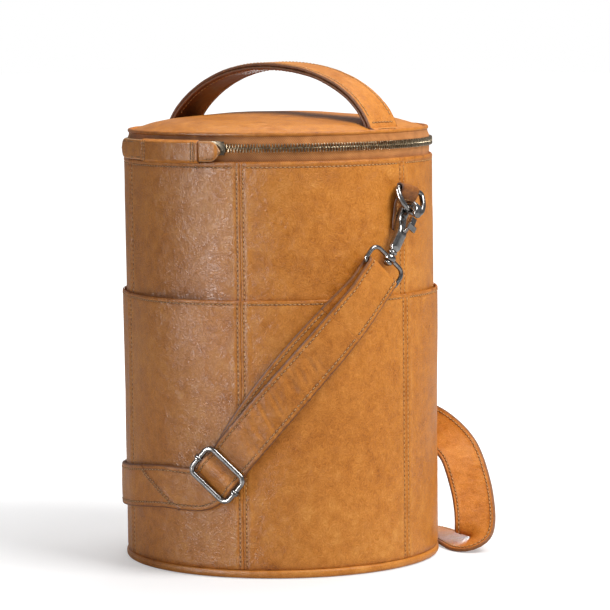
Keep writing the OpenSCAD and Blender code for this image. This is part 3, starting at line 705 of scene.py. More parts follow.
seams = Thread("seam_stitches", "bag")
for i in range(1, 7):
    make_panel(i, "wall")
    make_panel(i, "pocket")
seams.build("tan_leather")


# ------------------------------------------------------------------ base and lining
def round_grid(cols, sides):
    """Angles for a roll round the bag: azimuth by rows, angle round the roll by columns."""
    return np.meshgrid(np.linspace(0, 360, cols, endpoint=False), circle(sides), indexing="ij")


def base_roll(r=109.6, z=3.15, wide=3.0, high=2.95, power=0.8):
    """The rolled welt round the base."""
    A, T = round_grid(360, 18)
    base = polar(A, r, z)
    swell = 0.12 * noise(base + np.stack([0 * T, 0 * T, 4 * T], -1), (7, 7, 9), 201)
    out = (wide + swell) * squarer(np.cos(T), power)
    up = (high + swell * 0.5) * squarer(np.sin(T), power)
    P = polar(A, r + out, z + up)
    v, f = loft(P[:, ::-1], closed=True)
    tone = (0.10 * noise(base, 12, 202)).ravel()
    make("base_rolled_edge", v, f, [hide_smooth], "bag", "tan_leather", ["base_rim"], tone=tone)


def disc(name, r, z, t, facing, mats, body, slot, replaces, seed, ripple=0.0):
    """A round sheet, facing up or down."""
    radii = np.linspace(0.4, r, 44)
    A, R = np.meshgrid(np.linspace(0, 360, 180, endpoint=False), radii[::-1] if facing > 0 else radii)
    p = polar(A, R, 0)
    P = polar(A, R, z + ripple * noise(p, 22, seed) * smooth((r - R) / 10))
    N = np.zeros_like(P)
    N[..., 2] = facing
    # Random tone, with painted shade darkening the last millimetres towards the rim
    tone = 0.05 * noise(p, 14, seed + 1) - 0.08 * bell(r - R, 2)
    sheet(name, P, t, mats, body, slot, replaces, N=N, wrap=True, flat=(p[..., 0], p[..., 1]), tone=tone)


def lining_tube():
    az = np.linspace(360, 0, 240, endpoint=False)
    z = ladder((7.9, 270, 4.0), (270, 285.8, 1.5))
    A, Z = np.meshgrid(az, z)
    p = polar(A, 105, Z)
    fold = 0.35 * noise(p, (18, 18, 60), 230) + 0.2 * noise(p, (8, 8, 30), 231)
    R = 105.05 + np.clip(fold, -0.45, 0.45) * smooth((285 - Z) / 12) * smooth((Z - 7) / 10)
    sheet("lining_tube", polar(A, R, Z), 0.8, [lining] * 3, "bag", "lining_fabric", ["lining_wall"],
          wrap=True, flat=(-A * DEG_MM, Z), tone=0.04 * noise(p, 16, 232))
    hem = Thread("lining_stitches", "bag")
    hem.row(polar(-ROUND, 104.85, 282.5), -unit(polar(-ROUND, 1, 0)), pitch=3.2, long=2.3, r=0.28)
    hem.build("lining_fabric")


ROUND = np.linspace(0, 360, 361)
base_roll()
disc("base_leather", 105.7, 0.05, 1.9, -1, [hide_dark, edge, suede], "bag", "tan_leather_dark",
     ["base_panel"], 210)
base_thread = Thread("base_stitches", "bag")
facing_down = np.tile(-UP, (len(ROUND), 1))
base_thread.row(polar(ROUND, 102.5, 0.12), facing_down, pitch=3.4, long=2.6, r=0.3, lift=-0.02)
base_thread.build("tan_leather_dark")
disc("lining_floor", 104.9, 6.5, 0.9, 1, [lining] * 3, "bag", "lining_fabric", ["lining_base"], 220,
     ripple=0.25)
lining_tube()


# ------------------------------------------------------------------ zip
TOOTH_PITCH, TOOTH_R = 2.1, 108.9
PULL_TIP_RIGHT, PULL_TIP_LEFT = 21.3, -33.0


def tape_piece(name, z0, z1, body, replaces, seed, in_at):
    A, Z = np.meshgrid(np.linspace(-ZIP_END, ZIP_END, 420), np.linspace(z0, z1, 20))
    ripple = 0.18 * noise(polar(A, 108, Z), (9, 9, 30), seed) * np.sin(np.pi * (Z - z0) / (z1 - z0))
    R = 107.75 - 1.5 * smooth((Z - ZIP_Z - 2.5) / 6.5) + ripple - 0.25 * bell(Z - in_at, 1.5)
    # The tape is darker where it goes in under the leather: painted shade
    sheet(name, polar(A, R, Z), 0.7, [tape] * 3, body, "zip_tape", [replaces], flat=(A * DEG_MM, Z),
          tone=-0.12 * bell(Z - in_at, 2.5))


def tooth_template():
    """A stamped metal tooth: x along the tape, y outward, z towards the other row. The head is narrower."""
    half = [(0.44, 0.0), (0.48, 0.5), (0.46, 1.5), (0.40, 1.85), (0.34, 2.35), (0.18, 2.55)]
    outline = [(-0.44, 0.0), *half, *[(-x, z) for x, z in half[:0:-1]]]
    shells = [(-0.75, 0.80), (-0.6, 1.0), (0.75, 0.95), (1.25, 0.6)]
    middle = 1.2
    rings = np.array([[[x * k, y, middle + (z - middle) * k] for x, z in outline] for y, k in shells])
    return loft(rings[:, ::-1])


def teeth_piece(name, rise, body, replaces, offset):
    """One row of teeth, rising to the other row or hanging down to it, each a little out of true."""
    step = TOOTH_PITCH / (TOOTH_R * math.pi / 180)
    count = int(2 * (ZIP_END - 1) / step)
    v, f = tooth_template()
    f = [one[::-1] for one in f] if rise < 0 else f
    rng = np.random.default_rng(40 + int(rise))
    parts = []
    for az in (np.arange(count) + offset) * step - (ZIP_END - 1):
        tip = math.radians(rng.normal(0, 1.5))
        x, y, z = v[:, 0], v[:, 1] + rng.normal(0, 0.03), v[:, 2]
        x, z = x * math.cos(tip) - z * math.sin(tip), x * math.sin(tip) + z * math.cos(tip)
        height = (z - 2.35) * 1.4 * rise + 0.28 * rise
        parts.append((local(np.stack([x, y, height], -1), az, 108.75, ZIP_Z), f))
    verts, faces = joined(parts)
    make(name, verts, faces, [brass], body, "aged_brass", [replaces], soft=False)


def local(points, az, r, z):
    """Places points given as x to the right, y outward and z up at an azimuth and radius."""
    side, out = polar(az + 90, 1, 0), polar(az, 1, 0)
    return points[:, :1] * side + (points[:, 1:2] + r) * out + (points[:, 2:] + z) * UP


def plate(outline, y0, y1, soft=0.35):
    """A plate of an outline in x, z with eased edges, from y0 to y1 outward."""
    o = np.asarray(outline, float)
    c = o.mean(0)
    size = np.abs(o - c).max()
    rings = []
    small = 1 - soft / size
    for y, k in ((y0, small), (y0 + soft * 0.7, 1.0), (y1 - soft * 0.7, 1.0), (y1, small)):
        q = c + (o - c) * k
        rings.append(np.stack([q[:, 0], np.full(len(q), y), q[:, 1]], -1))
    return loft(np.array(rings)[:, ::-1])


def box(half_x, half_z):
    return np.array([[-half_x, -half_z], [half_x, -half_z], [half_x, half_z], [-half_x, half_z]])


def slider_piece(label, az, way):
    """Slider: front and back wings, the nose between them and the bridge that the pull hangs from."""
    t = circle(36)
    tall = 5.1 - 0.9 * np.cos(t) * way
    wing = np.stack([6.6 * squarer(np.cos(t), 0.75), tall * squarer(np.sin(t), 0.7)], -1)
    web = plate(box(1.2, 0.38) + [way * 2.6, 0], -5.2, 0.2, 0.1)
    lips = [plate(box(5.2, 0.5) + [0, h], -0.9, 0.2, 0.2) for h in (-4.2, 4.2)]
    arc = np.linspace(0, math.pi, 14)
    hoop = np.stack([4.6 * np.cos(arc), 0.5 + 1.5 * np.sin(arc), np.full(14, -1.3)], -1)
    bridge = wire(hoop, 0.85, sides=8)
    v, f = joined([plate(wing, -0.45, 0.75), plate(wing * [1, 0.92], -5.8, -4.7), web, *lips, bridge])
    make("slider_body_" + label, local(v, az, 110.2, ZIP_Z), f, [brass_painted_shade], "slider_" + label, "aged_brass",
         ["zip_slider_" + label])


def pull_piece(label, tail, tip, seed):
    """A leather pull that is padded a little and has one round end."""
    name, body = "pull_leather_" + label, "slider_" + label
    way = 1 if tip > tail else -1
    mm = (PULL_IN + PULL_T) * math.pi / 180
    knee = tip - way * PULL_HALF / mm
    long = abs(knee - tail) * mm
    end = PULL_HALF * np.sin(np.linspace(0, 1, 12) * (math.pi / 2 - 0.02))
    s = np.concatenate([np.linspace(0, long, 40, endpoint=False), long + end])
    half = np.sqrt(np.maximum(PULL_HALF ** 2 - np.maximum(s - long, 0) ** 2, 0.05))
    V, S = np.meshgrid(np.linspace(-1, 1, 17), s, indexing="ij")
    H = V * half[None, :]
    puff = 0.75 * (1 - V ** 2) ** 0.5 * smooth((long + PULL_HALF - S) / 3)
    puff = puff + 0.12 * noise(np.stack([S, H, 0 * S], -1), 5, seed) - 0.10 * bell(np.abs(V) - 0.76, 0.06)
    P = polar(tail + way * S / mm, PULL_IN + PULL_T + puff, PULL_Z + H)
    P, S, H, puff = (x[:, ::way] for x in (P, S, H, puff))
    # Painted shade along the stitch grooves near both edges, over a slightly lighter face
    tone = -0.05 * bell(np.abs(H) - 5, 0.7) + 0.05
    sheet(name, P, PULL_T + puff, [hide_smooth, pale_edge, hide_smooth], body, "tan_leather",
          ["zip_pull_" + label], flat=(S, H), tone=tone)
    rim = Thread(name + "_stitches", body)
    keep = (s > 3) & (s < long + PULL_HALF - 2.4)
    inset = 1.25
    for sign in (-1, 1):
        pts = polar(tail + way * s / mm, PULL_IN + PULL_T + 0.22, PULL_Z + sign * (half - inset))[keep]
        rim.row(pts, unit(pts * [1, 1, 0]), pitch=2.3, long=1.7, r=0.24)
    rim.build("tan_leather")


def keeper_piece():
    """The sleeve over the two pulls: a bulged cover sewn down along its lower flap, and its backing."""
    z0, z1, mm = ZIP_Z - 10.4, ZIP_Z + 5.7, 1.98
    s = ladder((-KEEPER_HALF, -KEEPER_HALF + 4, 0.35), (-KEEPER_HALF + 4, KEEPER_HALF - 4, 0.6),
               (KEEPER_HALF - 4, KEEPER_HALF, 0.35))
    z = ladder((z0, z1, 0.55))
    A, Z = np.meshgrid(s, z)
    d = (KEEPER_HALF - np.abs(A)) * 113.5 * math.pi / 180
    rise = smooth((Z - z0 + 0.6) / 2.6) * smooth((z1 + 0.6 - Z) / 2.6)
    R = 111.3 + 4.1 * rise + 0.10 * noise(polar(A, 113, Z), 7, 320) * rise
    R = R + 0.28 * bell(d - 1.0, 1.1) + 0.16 * bell(d - 3.8, 0.7)
    R = R - 0.22 * bell(d - 2.6, 0.5) - 0.22 * bell(d - 5.0, 0.5)
    lines = creases(A * mm, Z, 321, 9, angle=80, spread=12, long=(4, 9), wide=(0.5, 1.0), deep=(0.06, 0.16))
    P = polar(A, R + lines * rise, Z)
    # Painted shade at the cover's side edges and along its top
    sheet("keeper_cover", P, 1.15, LEAF, "bag", "tan_leather", ["pull_keeper"], flat=(A * mm, Z),
          tone=-0.08 * bell(d, 0.8) - 0.08 * bell(Z - z1, 1.0))
    A2, Z2 = np.meshgrid(np.linspace(KEEPER_HALF, -KEEPER_HALF, 30), np.linspace(z0 + 0.6, z1 - 0.4, 12))
    # The backing is darkened all over: painted shade under the cover
    sheet("keeper_backing", polar(A2, 110.15, Z2), 1.0, [suede, edge, hide_smooth], "bag", "tan_leather",
          ["pull_keeper"], N=-unit(polar(A2, 1, 0)), flat=(A2 * mm, Z2), tone=-0.1)
    rows = Thread("keeper_stitches", "bag")
    N = normals(P)
    upright = np.nonzero((z > z0 + 0.8) & (z < z1 - 0.8))[0]
    for target in (2.6, 5.0):
        for sign in (-1, 1):
            c = nearest(s, sign * (KEEPER_HALF - target / mm))
            rows.row(P[upright, c], N[upright, c], **FINE)
    rows.build("tan_leather")


def hinge_piece():
    """The strip of leather over the gap in the zip, sewn to the wall and to the lid."""
    z0, z1, mm = WALL_H - 17, LID_EDGE_Z - 3.4, 1.94
    low_seam, high_seam = z0 + 2.4, z1 - 2.0
    z = ladder((z0, z1, 0.8))
    A, Z = np.meshgrid(np.linspace(180 - HINGE_HALF, 180 + HINGE_HALF, 90), z)
    d = (HINGE_HALF - np.abs(A - 180)) * mm
    R = 111.5 + 0.10 * noise(polar(A, 111, Z), 8, 330) - 0.2 * bell(Z - ZIP_Z, 1.4)
    R = R - 0.2 * bell(Z - low_seam, 0.6) - 0.2 * bell(Z - high_seam, 0.6)
    P = polar(A, R, Z)
    fold = ("bag", "lid", (0, 0.112, 0.2935), (0, 0.112, 0.2985))
    # Painted shade along the zip's gap and at the strip's side edges
    obj = sheet("hinge_strip", P, 1.3, LEAF, None, "tan_leather", ["back_hinge_lower", "back_hinge_upper"],
                flat=(A * mm, Z), tone=-0.12 * bell(Z - ZIP_Z, 1.2) - 0.08 * bell(d, 0.8))
    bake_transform(obj)
    rows = Thread("hinge_stitches", "bag")
    N = normals(P)
    for target in (low_seam, high_seam):
        r = nearest(z, target)
        rows.row(P[r, 2:-2], N[r, 2:-2], **SHORT)
    keep = z < ZIP_Z - 4
    for c in (2, -3):
        rows.row(P[keep, c], N[keep, c], **SHORT)
    rows.build("tan_leather", blend=fold)


tape_piece("tape_lower", WALL_H - 9, ZIP_Z - 0.75, "bag", "zip_tape_lower", 301, WALL_H)
tape_piece("tape_upper", ZIP_Z + 0.75, LID_EDGE_Z + 1, "lid", "zip_tape_upper", 302, LID_EDGE_Z - 3)
teeth_piece("teeth_lower", 1.0, "bag", "zip_teeth_lower", 0.0)
teeth_piece("teeth_upper", -1.0, "lid", "zip_teeth_upper", 0.5)
slider_piece("right", 20.2, 1)
slider_piece("left", -33.0, -1)
pull_piece("right", 1.0, PULL_TIP_RIGHT, 311)
pull_piece("left", -1.0, PULL_TIP_LEFT, 312)
keeper_piece()
hinge_piece()


# ------------------------------------------------------------------ lid
BALL = (LID_BASE_R ** 2 + LID_RISE ** 2) / (2 * LID_RISE)
ROLL_R, ROLL_WIRE = 105.7, 1.5
UNDERSIDE_Z = 304.1


def lid_height(x, y, full=True):
    """Height of the padded lid's leather over its plan: dome, shoulder, and with full its ripples too."""
    r = np.hypot(x, y)
    from_edge = LID_R - r
    h = DOME_Z + LID_RISE - BALL + np.sqrt(BALL ** 2 - np.minimum(r, LID_BASE_R - 0.01) ** 2)
    h = h + 0.3 * bell(from_edge - 14, 9) - 2.6 * bell(from_edge - 2, 14) - 0.9 * bell(from_edge, 3.2)
    if full:
        p = np.stack([x, y, 0 * x], -1)
        h = h + (0.55 * noise(p, 40, 401) + 0.20 * noise(p, 15, 402)) * smooth(from_edge / 12)
        ring = np.stack([110 * np.arctan2(x, -y), from_edge * 0.45, 0 * x], -1)
        h = h + 0.32 * noise(ring, (6.5, 9, 1), 403) * bell(from_edge - 3, 7)
        lines = creases(x, y, 404, 26, angle=20, spread=60, long=(10, 40), wide=(0.5, 1.3), deep=(0.05, 0.22))
        h = h + lines * smooth(from_edge / 8)
    for sign in (-1, 1):
        h = h - 0.7 * smooth((x * sign - 86) / 8) * smooth((17 - np.abs(y)) / 5)
    return h


def lid_cover():
    """Padded cover: dome, soft shoulder and the flat underside, as one closed piece."""
    az = np.linspace(0, 360, 400, endpoint=False)
    r = LID_R - np.concatenate([np.linspace(0, 16, 24, endpoint=False), np.linspace(16, LID_R - 0.3, 60)])
    A, R = np.meshgrid(az, r)
    q = polar(A, R, 0)
    foot = polar(az, LID_R, 0)[None]
    dome = polar(A, R, lid_height(q[..., 0], q[..., 1]))
    P = np.concatenate([polar(az, LID_R, UNDERSIDE_Z + 0.3)[None], dome])
    # Painted shade on the underside's edge ring and towards the lid's edge, and random tone
    tone = np.concatenate([[0 * az - 0.2], -0.16 * bell(LID_R - R, 2.2) + 0.05 * noise(q, 30, 405)])
    plan = np.concatenate([foot, q])
    part = slab(P, 0.01, wrap=True, flat=(plan[..., 0], plan[..., 1]), tone=tone, rings=1)
    under = P.copy()
    under[..., 2] = np.minimum(UNDERSIDE_Z, P[..., 2] - 0.3)
    under[0, :, 2] = UNDERSIDE_Z
    count = len(under.reshape(-1, 3))
    part["verts"][count:2 * count] = under.reshape(-1, 3)
    obj = make("lid_cover", mats=[hide_smooth, hide_smooth, board], body="lid", slot="tan_leather",
               replaces=["lid_top", "lid_foam"], **part)


def lid_roll():
    """The rolled edge of the lid, pulled in where it is sewn."""
    A, T = round_grid(480, 20)
    base = polar(A, 108.9, LID_EDGE_Z)
    swell = 0.1 * noise(base + np.stack([0 * T, 0 * T, 3 * T], -1), (5, 5, 8), 411)
    swell = swell + 0.08 * noise(base, 20, 412)
    P = polar(A, ROLL_R + (ROLL_WIRE + swell) * np.cos(T), LID_EDGE_Z + 0.2 + (ROLL_WIRE + swell) * np.sin(T))
    v, f = loft(P[:, ::-1], closed=True)
    # Random tone, with painted shade under the roll and a little on its top where it meets the cover
    tone = 0.08 * noise(base, 14, 413) - 0.14 * bell(np.sin(T) + 1, 0.5) - 0.06 * bell(np.sin(T) - 1, 0.3)
    make("lid_rolled_edge", v, f, [hide_smooth], "lid", "tan_leather", ["lid_rim"], tone=tone.ravel())


lid_cover()
lid_roll()
disc("lid_lining_disc", 104.3, 300.42, 0.9, -1, [lining] * 3, "lid", "lining_fabric", ["lid_lining"], 420)


# ------------------------------------------------------------------ handle
SEW_EDGE = 3.0


def handle_line(n=120):
    """Middle line of the handle in x, z from the right foot over the top to the left, and its normals."""
    t = np.linspace(0, 1, n // 2)[:, None]
    top = HANDLE_TOP - 2.3
    halves = []
    for points in (((98.2, 304.5), (92.5, 326.0), (59, top)), ((95.0, 304.5), (86, 324.5), (52, top))):
        a, b, c, d = (np.array(p, float) for p in (*points, (0, top)))
        halves.append((1 - t) ** 3 * a + 3 * (1 - t) ** 2 * t * b + 3 * (1 - t) * t * t * c + t ** 3 * d)
    line = np.concatenate([halves[0], (halves[1] * [-1, 1])[-2::-1]])
    (line,) = resample(line, 2.0)
    T = unit(np.gradient(line, axis=0))
    return line, np.stack([T[:, 1], -T[:, 0]], -1)


def handle_ply(name, node_name, off, t, mats, slot, seed, line, out, s, stitches):
    """One ply of the handle, at a height off the middle line."""
    middle, inside = name == "handle_middle", name == "handle_inner"
    w = np.linspace(-1, 1, 23) * HANDLE_W / 2
    S, W = np.meshgrid(s, w * 0.74 if middle else w, indexing="ij")
    d = HANDLE_W / 2 - np.abs(W)
    p = np.stack([S, W, 0 * S + seed], -1)
    crown = (0.35 * (1 - (W / (HANDLE_W / 2)) ** 2) - 0.2 * bell(d - SEW_EDGE, 0.6)) * (-0.4 if inside else 1)
    crown = crown + 0.16 * noise(p, (16, 9, 1), seed) + 0.07 * noise(p, (4, 5, 1), seed + 1)
    crown = crown + creases(S, W, seed, 26, angle=90, spread=10, long=(4, 14), wide=(0.5, 1.1),
                            deep=(0.05, 0.18))
    lip = 0.75 * (1 - smooth(d / 2.4))
    h = off if middle else off + crown
    h = h + (lip if inside else 0 * lip)
    P = np.stack([line[:, 0:1] + out[:, 0:1] * h, W, line[:, 1:2] + out[:, 1:2] * h], -1)
    # Painted shade along the edges and in the stitch furrows, and random tone
    tone = -0.12 * bell(d, 1.0) - 0.06 * bell(d - SEW_EDGE, 0.8) + 0.05 * noise(p, 20, seed + 2)
    sheet(name, P, t if middle else t + lip, mats, "lid", slot, [node_name], flat=(S, W), tone=tone)
    if middle:
        return
    N = normals(P)
    low, facing = (1.5, -1) if inside else (0, 1)
    for target in (-HANDLE_W / 2 + SEW_EDGE, HANDLE_W / 2 - SEW_EDGE):
        c = nearest(w, target)
        stitches.row(P[4:-4, c] - N[4:-4, c] * low, facing * N[4:-4, c], **SADDLE)
    if not inside:
        for r in (2, len(s) - 3):
            stitches.row(P[r, 2:-2], N[r, 2:-2], **CROSS)


def handle_foot(sign, label, stitches):
    """The sewn foot, from the handle's turn down to the lid's rolled edge."""
    V, U = np.meshgrid(np.linspace(-1, 1, 21), np.linspace(92.5, 104.6, 20), indexing="ij")
    Y = V * (HANDLE_W / 2 - 0.8 * smooth((U - 100) / 10))
    Z = lid_height(U, Y, full=False) + 1.5
    Z = Z + 0.1 * noise(np.stack([U, Y, 0 * U], -1), 6, 520 + sign)
    P = np.stack([U * sign, Y * sign, Z], -1)
    if normals(P)[10, 12, 2] < 0:
        P, U, Y = P[::-1], U[::-1], Y[::-1]
    # Painted shade along the foot's side edges
    sheet("handle_foot_" + label, P, 1.5, [hide_strap, edge, suede], "lid", "tan_leather",
          ["handle_outer_ply"], flat=(U, Y), tone=-0.1 * bell(np.abs(V) - 1, 0.08))
    x = np.full(20, 102.2)
    y = np.linspace(-HANDLE_W / 2 + SEW_EDGE, HANDLE_W / 2 - SEW_EDGE, 20)
    z = lid_height(x, y, full=False) + 1.55
    stitches.row(np.stack([x * sign, y, z], -1), np.tile(UP, (20, 1)), **CROSS)


def handle_pieces():
    line, out = handle_line()
    s = run(line)
    keep = line[:, 1] > lid_height(line[:, 0], 0 * line[:, 0], full=False) - 1.0
    way = line[keep], out[keep], s[keep]
    stitches = Thread("handle_stitches", "lid")
    handle_ply("handle_outer", "handle_outer_ply", 2.3, 1.5, [hide_strap, edge_mid, suede], "tan_leather",
               501, *way, stitches)
    handle_ply("handle_middle", "handle_core", 0.75, 1.45, [foam] * 3, "foam", 502, *way, stitches)
    # The inner ply takes the darker copy of the tan: painted shade under the handle
    handle_ply("handle_inner", "handle_inner_ply", -0.8, 1.5, [hide_painted_shade, edge_mid, hide_painted_shade],
               "tan_leather_dark", 503, *way, stitches)
    for sign, label in ((1, "right"), (-1, "left")):
        handle_foot(sign, label, stitches)
    stitches.build("tan_leather")


handle_pieces()


# ------------------------------------------------------------------ frames of the clips
def turned(points, angles):
    """Points turned about X, then Y, then Z, in degrees, as the CAD part does."""
    tx, ty, tz = (math.radians(a) for a in angles)
    x, y, z = points[..., 0], points[..., 1], points[..., 2]
    y, z = y * math.cos(tx) - z * math.sin(tx), y * math.sin(tx) + z * math.cos(tx)
    x, z = x * math.cos(ty) + z * math.sin(ty), -x * math.sin(ty) + z * math.cos(ty)
    return np.stack([x * math.cos(tz) - y * math.sin(tz), x * math.sin(tz) + y * math.cos(tz), z], -1)


def half_turn(points, left):
    return points * np.array([-1, -1, 1.0]) if left else points


RING_TURN = (-RING_TILT, RING_LEAN, RING_AZ)
RING_TOP = polar(RING_AZ, RING_R, RING_Z)
HOOK_PLACE = np.array([-RING_HALF * math.sin(ON_RING), 0, -RING_LEG - RING_HALF * math.cos(ON_RING)])
HOOK_POS = RING_TOP + turned(HOOK_PLACE, RING_TURN)
EYE_POS = HOOK_POS + turned(np.array([0, 0, -EYE_DROP]), HOOK_TURN)
LOOP_AZ = math.degrees(math.atan2(EYE_POS[0], -EYE_POS[1])) - 4.2
LOOP_TURN = (0, STRAP_TILT, LOOP_AZ)


def at_hook(points, left=False):
    return half_turn(turned(np.asarray(points, float), HOOK_TURN) + HOOK_POS, left)


def at_eye(points, left=False):
    return half_turn(turned(np.asarray(points, float), LOOP_TURN) + EYE_POS, left)


def at_buckle(points):
    middle = polar(BUCKLE_AZ, BUCKLE_R, BUCKLE_Z)
    return turned(np.asarray(points, float), (0, BUCKLE_TILT, BUCKLE_AZ)) + middle


def loop_line(w, h, top, bottom):
    """A closed wire loop in the XZ plane hanging from z = 0, with round corners of two radii."""
    quarter = np.linspace(0, math.pi / 2, 10)
    corners = ((w / 2 - top, -top, top), (-w / 2 + top, -top, top),
               (-w / 2 + bottom, -h + bottom, bottom), (w / 2 - bottom, -h + bottom, bottom))
    pts = []
    for i, (x, z, r) in enumerate(corners):
        a = quarter + i * math.pi / 2
        pts.append(np.stack([x + r * np.cos(a), 0 * a, z + r * np.sin(a)], -1))
    pts = np.concatenate([*pts, pts[0][:1]])
    (pts,) = resample(pts, 0.8)
    return pts[:-1]


def revolved(profile):
    """Rings of points of a profile of (radius, height) about Z: one ring a point of the profile."""
    turn = circle(28)
    return np.array([[[r * math.cos(a), r * math.sin(a), z] for a in turn] for r, z in profile])


def ring_piece(label, left):
    line = loop_line(2 * RING_HALF, RING_LEG + RING_HALF, WIRE_R + 0.4, RING_HALF)
    line = turned(line, RING_TURN) + RING_TOP
    v, f = wire(half_turn(line, left), WIRE_R, closed=True, sides=14)
    make("d_ring_wire_" + label, v, f, [steel], "ring_" + label, "dark_nickel", ["d_ring_" + label])


def loop_piece(label, left):
    """The wire loop that holds the strap, with the boss that the hook turns in."""
    profile = [(1.8, 2.0), (3.6, 2.15), (4.2, 1.5), (4.4, 0.0), (4.2, -1.5), (3.6, -2.15), (1.8, -2.0)]
    rings = revolved(profile).transpose(1, 0, 2) - EYE_DROP * UP
    boss = loft(at_hook(rings, left), closed=True)
    frame_wire = wire(at_eye(loop_line(LOOP_W, LOOP_H, 5.6, 2.4), left), LOOP_WIRE, closed=True, sides=12)
    v, f = joined([frame_wire, boss])
    make("swivel_loop_wire_" + label, v, f, [steel], "ring_" + label, "dark_nickel", ["swivel_loop_" + label])


def hook_piece(label, left):
    """The cast hook: shank, spine and jaw as one sweep, then the turned collar, pin and head."""
    arc = np.radians(np.linspace(0, 203, 34))
    jaw = np.stack([6.1 * np.cos(arc), -0.8 + 6.1 * np.sin(arc)], -1)
    spine = [[0.2, -30.6], [0.2, -27.0], [0.2, -22.0], [0.3, -17.5], [1.6, -13.6], [4.5, -9.4], [5.9, -5.2]]
    (path,) = resample(np.concatenate([spine, jaw]), 0.6)
    u = run(path) / run(path)[-1]
    wide = np.interp(u, [0, 0.05, 0.3, 0.45, 0.9, 0.97, 1], [2.8, 4.2, 4.4, 4.2, 3.9, 3.4, 1.9])
    deep = np.interp(u, [0, 0.05, 0.25, 0.42, 0.6, 0.9, 0.97, 1], [2.4, 3.2, 3.3, 2.7, 2.4, 2.2, 1.9, 0.9])
    T = unit(np.gradient(path, axis=0))
    turn = circle(28)
    x = wide[:, None] * squarer(np.cos(turn), 0.62)[None]
    off = deep[:, None] * squarer(np.sin(turn), 0.62)[None]
    outlines = np.stack([x, path[:, :1] + T[:, 1:] * off, path[:, 1:] - T[:, :1] * off], -1)
    casting = loft(at_hook(outlines, left))
    profile = [(0.2, -30.4), (2.4, -30.6), (3.3, -31.1), (3.6, -32.0), (3.3, -32.9), (1.8, -33.4),
               (1.7, -38.6), (2.8, -38.8), (3.3, -39.8), (2.9, -41.0), (1.6, -41.7), (0.2, -41.8)]
    v, f = joined([casting, loft(at_hook(revolved(profile)[::-1], left))])
    make("snap_hook_cast_" + label, v, f, [steel], "hook_" + label, "dark_nickel", ["snap_hook_" + label])


def tab_piece(label, left):
    """The leather tab: it goes up the wall, over the ring's straight bar and back down."""
    w, t, middle, tail = 18.5, 1.5, -2.55, 29
    out_r = WIRE_R + 0.3 + t
    a = np.radians(np.linspace(-38, 200, 34))
    arch = np.stack([out_r * np.cos(a), out_r * np.sin(a)], -1)
    drop = np.linspace(0, 1, 34)[1:]
    start = arch[0]
    inset = start[0] + (-1.5 - start[0]) * smooth(drop * 3.2)
    low = np.stack([inset, start[1] - drop * (tail + start[1])], -1)
    line = np.concatenate([low[::-1], arch])
    line[:, 0] = np.maximum(line[:, 0], -2.4)
    (line,) = resample(line, 0.8)
    s = run(line)
    U, S = np.meshgrid(np.linspace(-1, 1, 21), s)
    X = U * w / 2 * (1.0 - 0.10 * smooth((6 - S) / 6))
    T = unit(np.gradient(line, axis=0))
    bulge = 0.12 * noise(np.stack([X, S, 0 * X], -1), 6, 601 + left) + 0.12 * (1 - U ** 2)
    bulge = bulge - 0.15 * bell(w / 2 - np.abs(X) - 2.2, 0.5)
    outward = line[:, 0:1] + T[:, 1:] * bulge
    up = line[:, 1:2] - T[:, :1] * bulge
    P = turned(np.stack([X + middle, -outward, up], -1), (0, RING_LEAN, RING_AZ)) + RING_TOP
    # The sewn stretch stays outside the round wall
    push = np.maximum(BODY_R + t + 0.6 - np.hypot(P[..., 0], P[..., 1]), 0)[..., None] * unit(P * [1, 1, 0])
    P = half_turn(P + push, left)
    # Painted shade along the tab's side edges
    sheet("ring_tab_leather_" + label, P, t, [hide_dark, edge, suede], "bag", "tan_leather_dark",
          ["ring_tab_" + label], flat=(X, S), tone=-0.10 * bell(w / 2 - np.abs(X), 1.0))
    N = normals(P)
    rows = Thread("ring_tab_stitches_" + label, "bag")
    sewn = np.nonzero(s < 24)[0][3:]
    for c in (2, 18):
        rows.row(P[sewn, c], N[sewn, c], **SHORT)
    for at in (2.6, 22.5):
        r = nearest(s, at)
        rows.row(P[r, 2:-2], N[r, 2:-2], **SHORT)
    rows.build("tan_leather_dark")


for left, label in SIDES:
    ring_piece(label, left)
    loop_piece(label, left)
for piece in (hook_piece, tab_piece):
    for left, label in SIDES:
        piece(label, left)


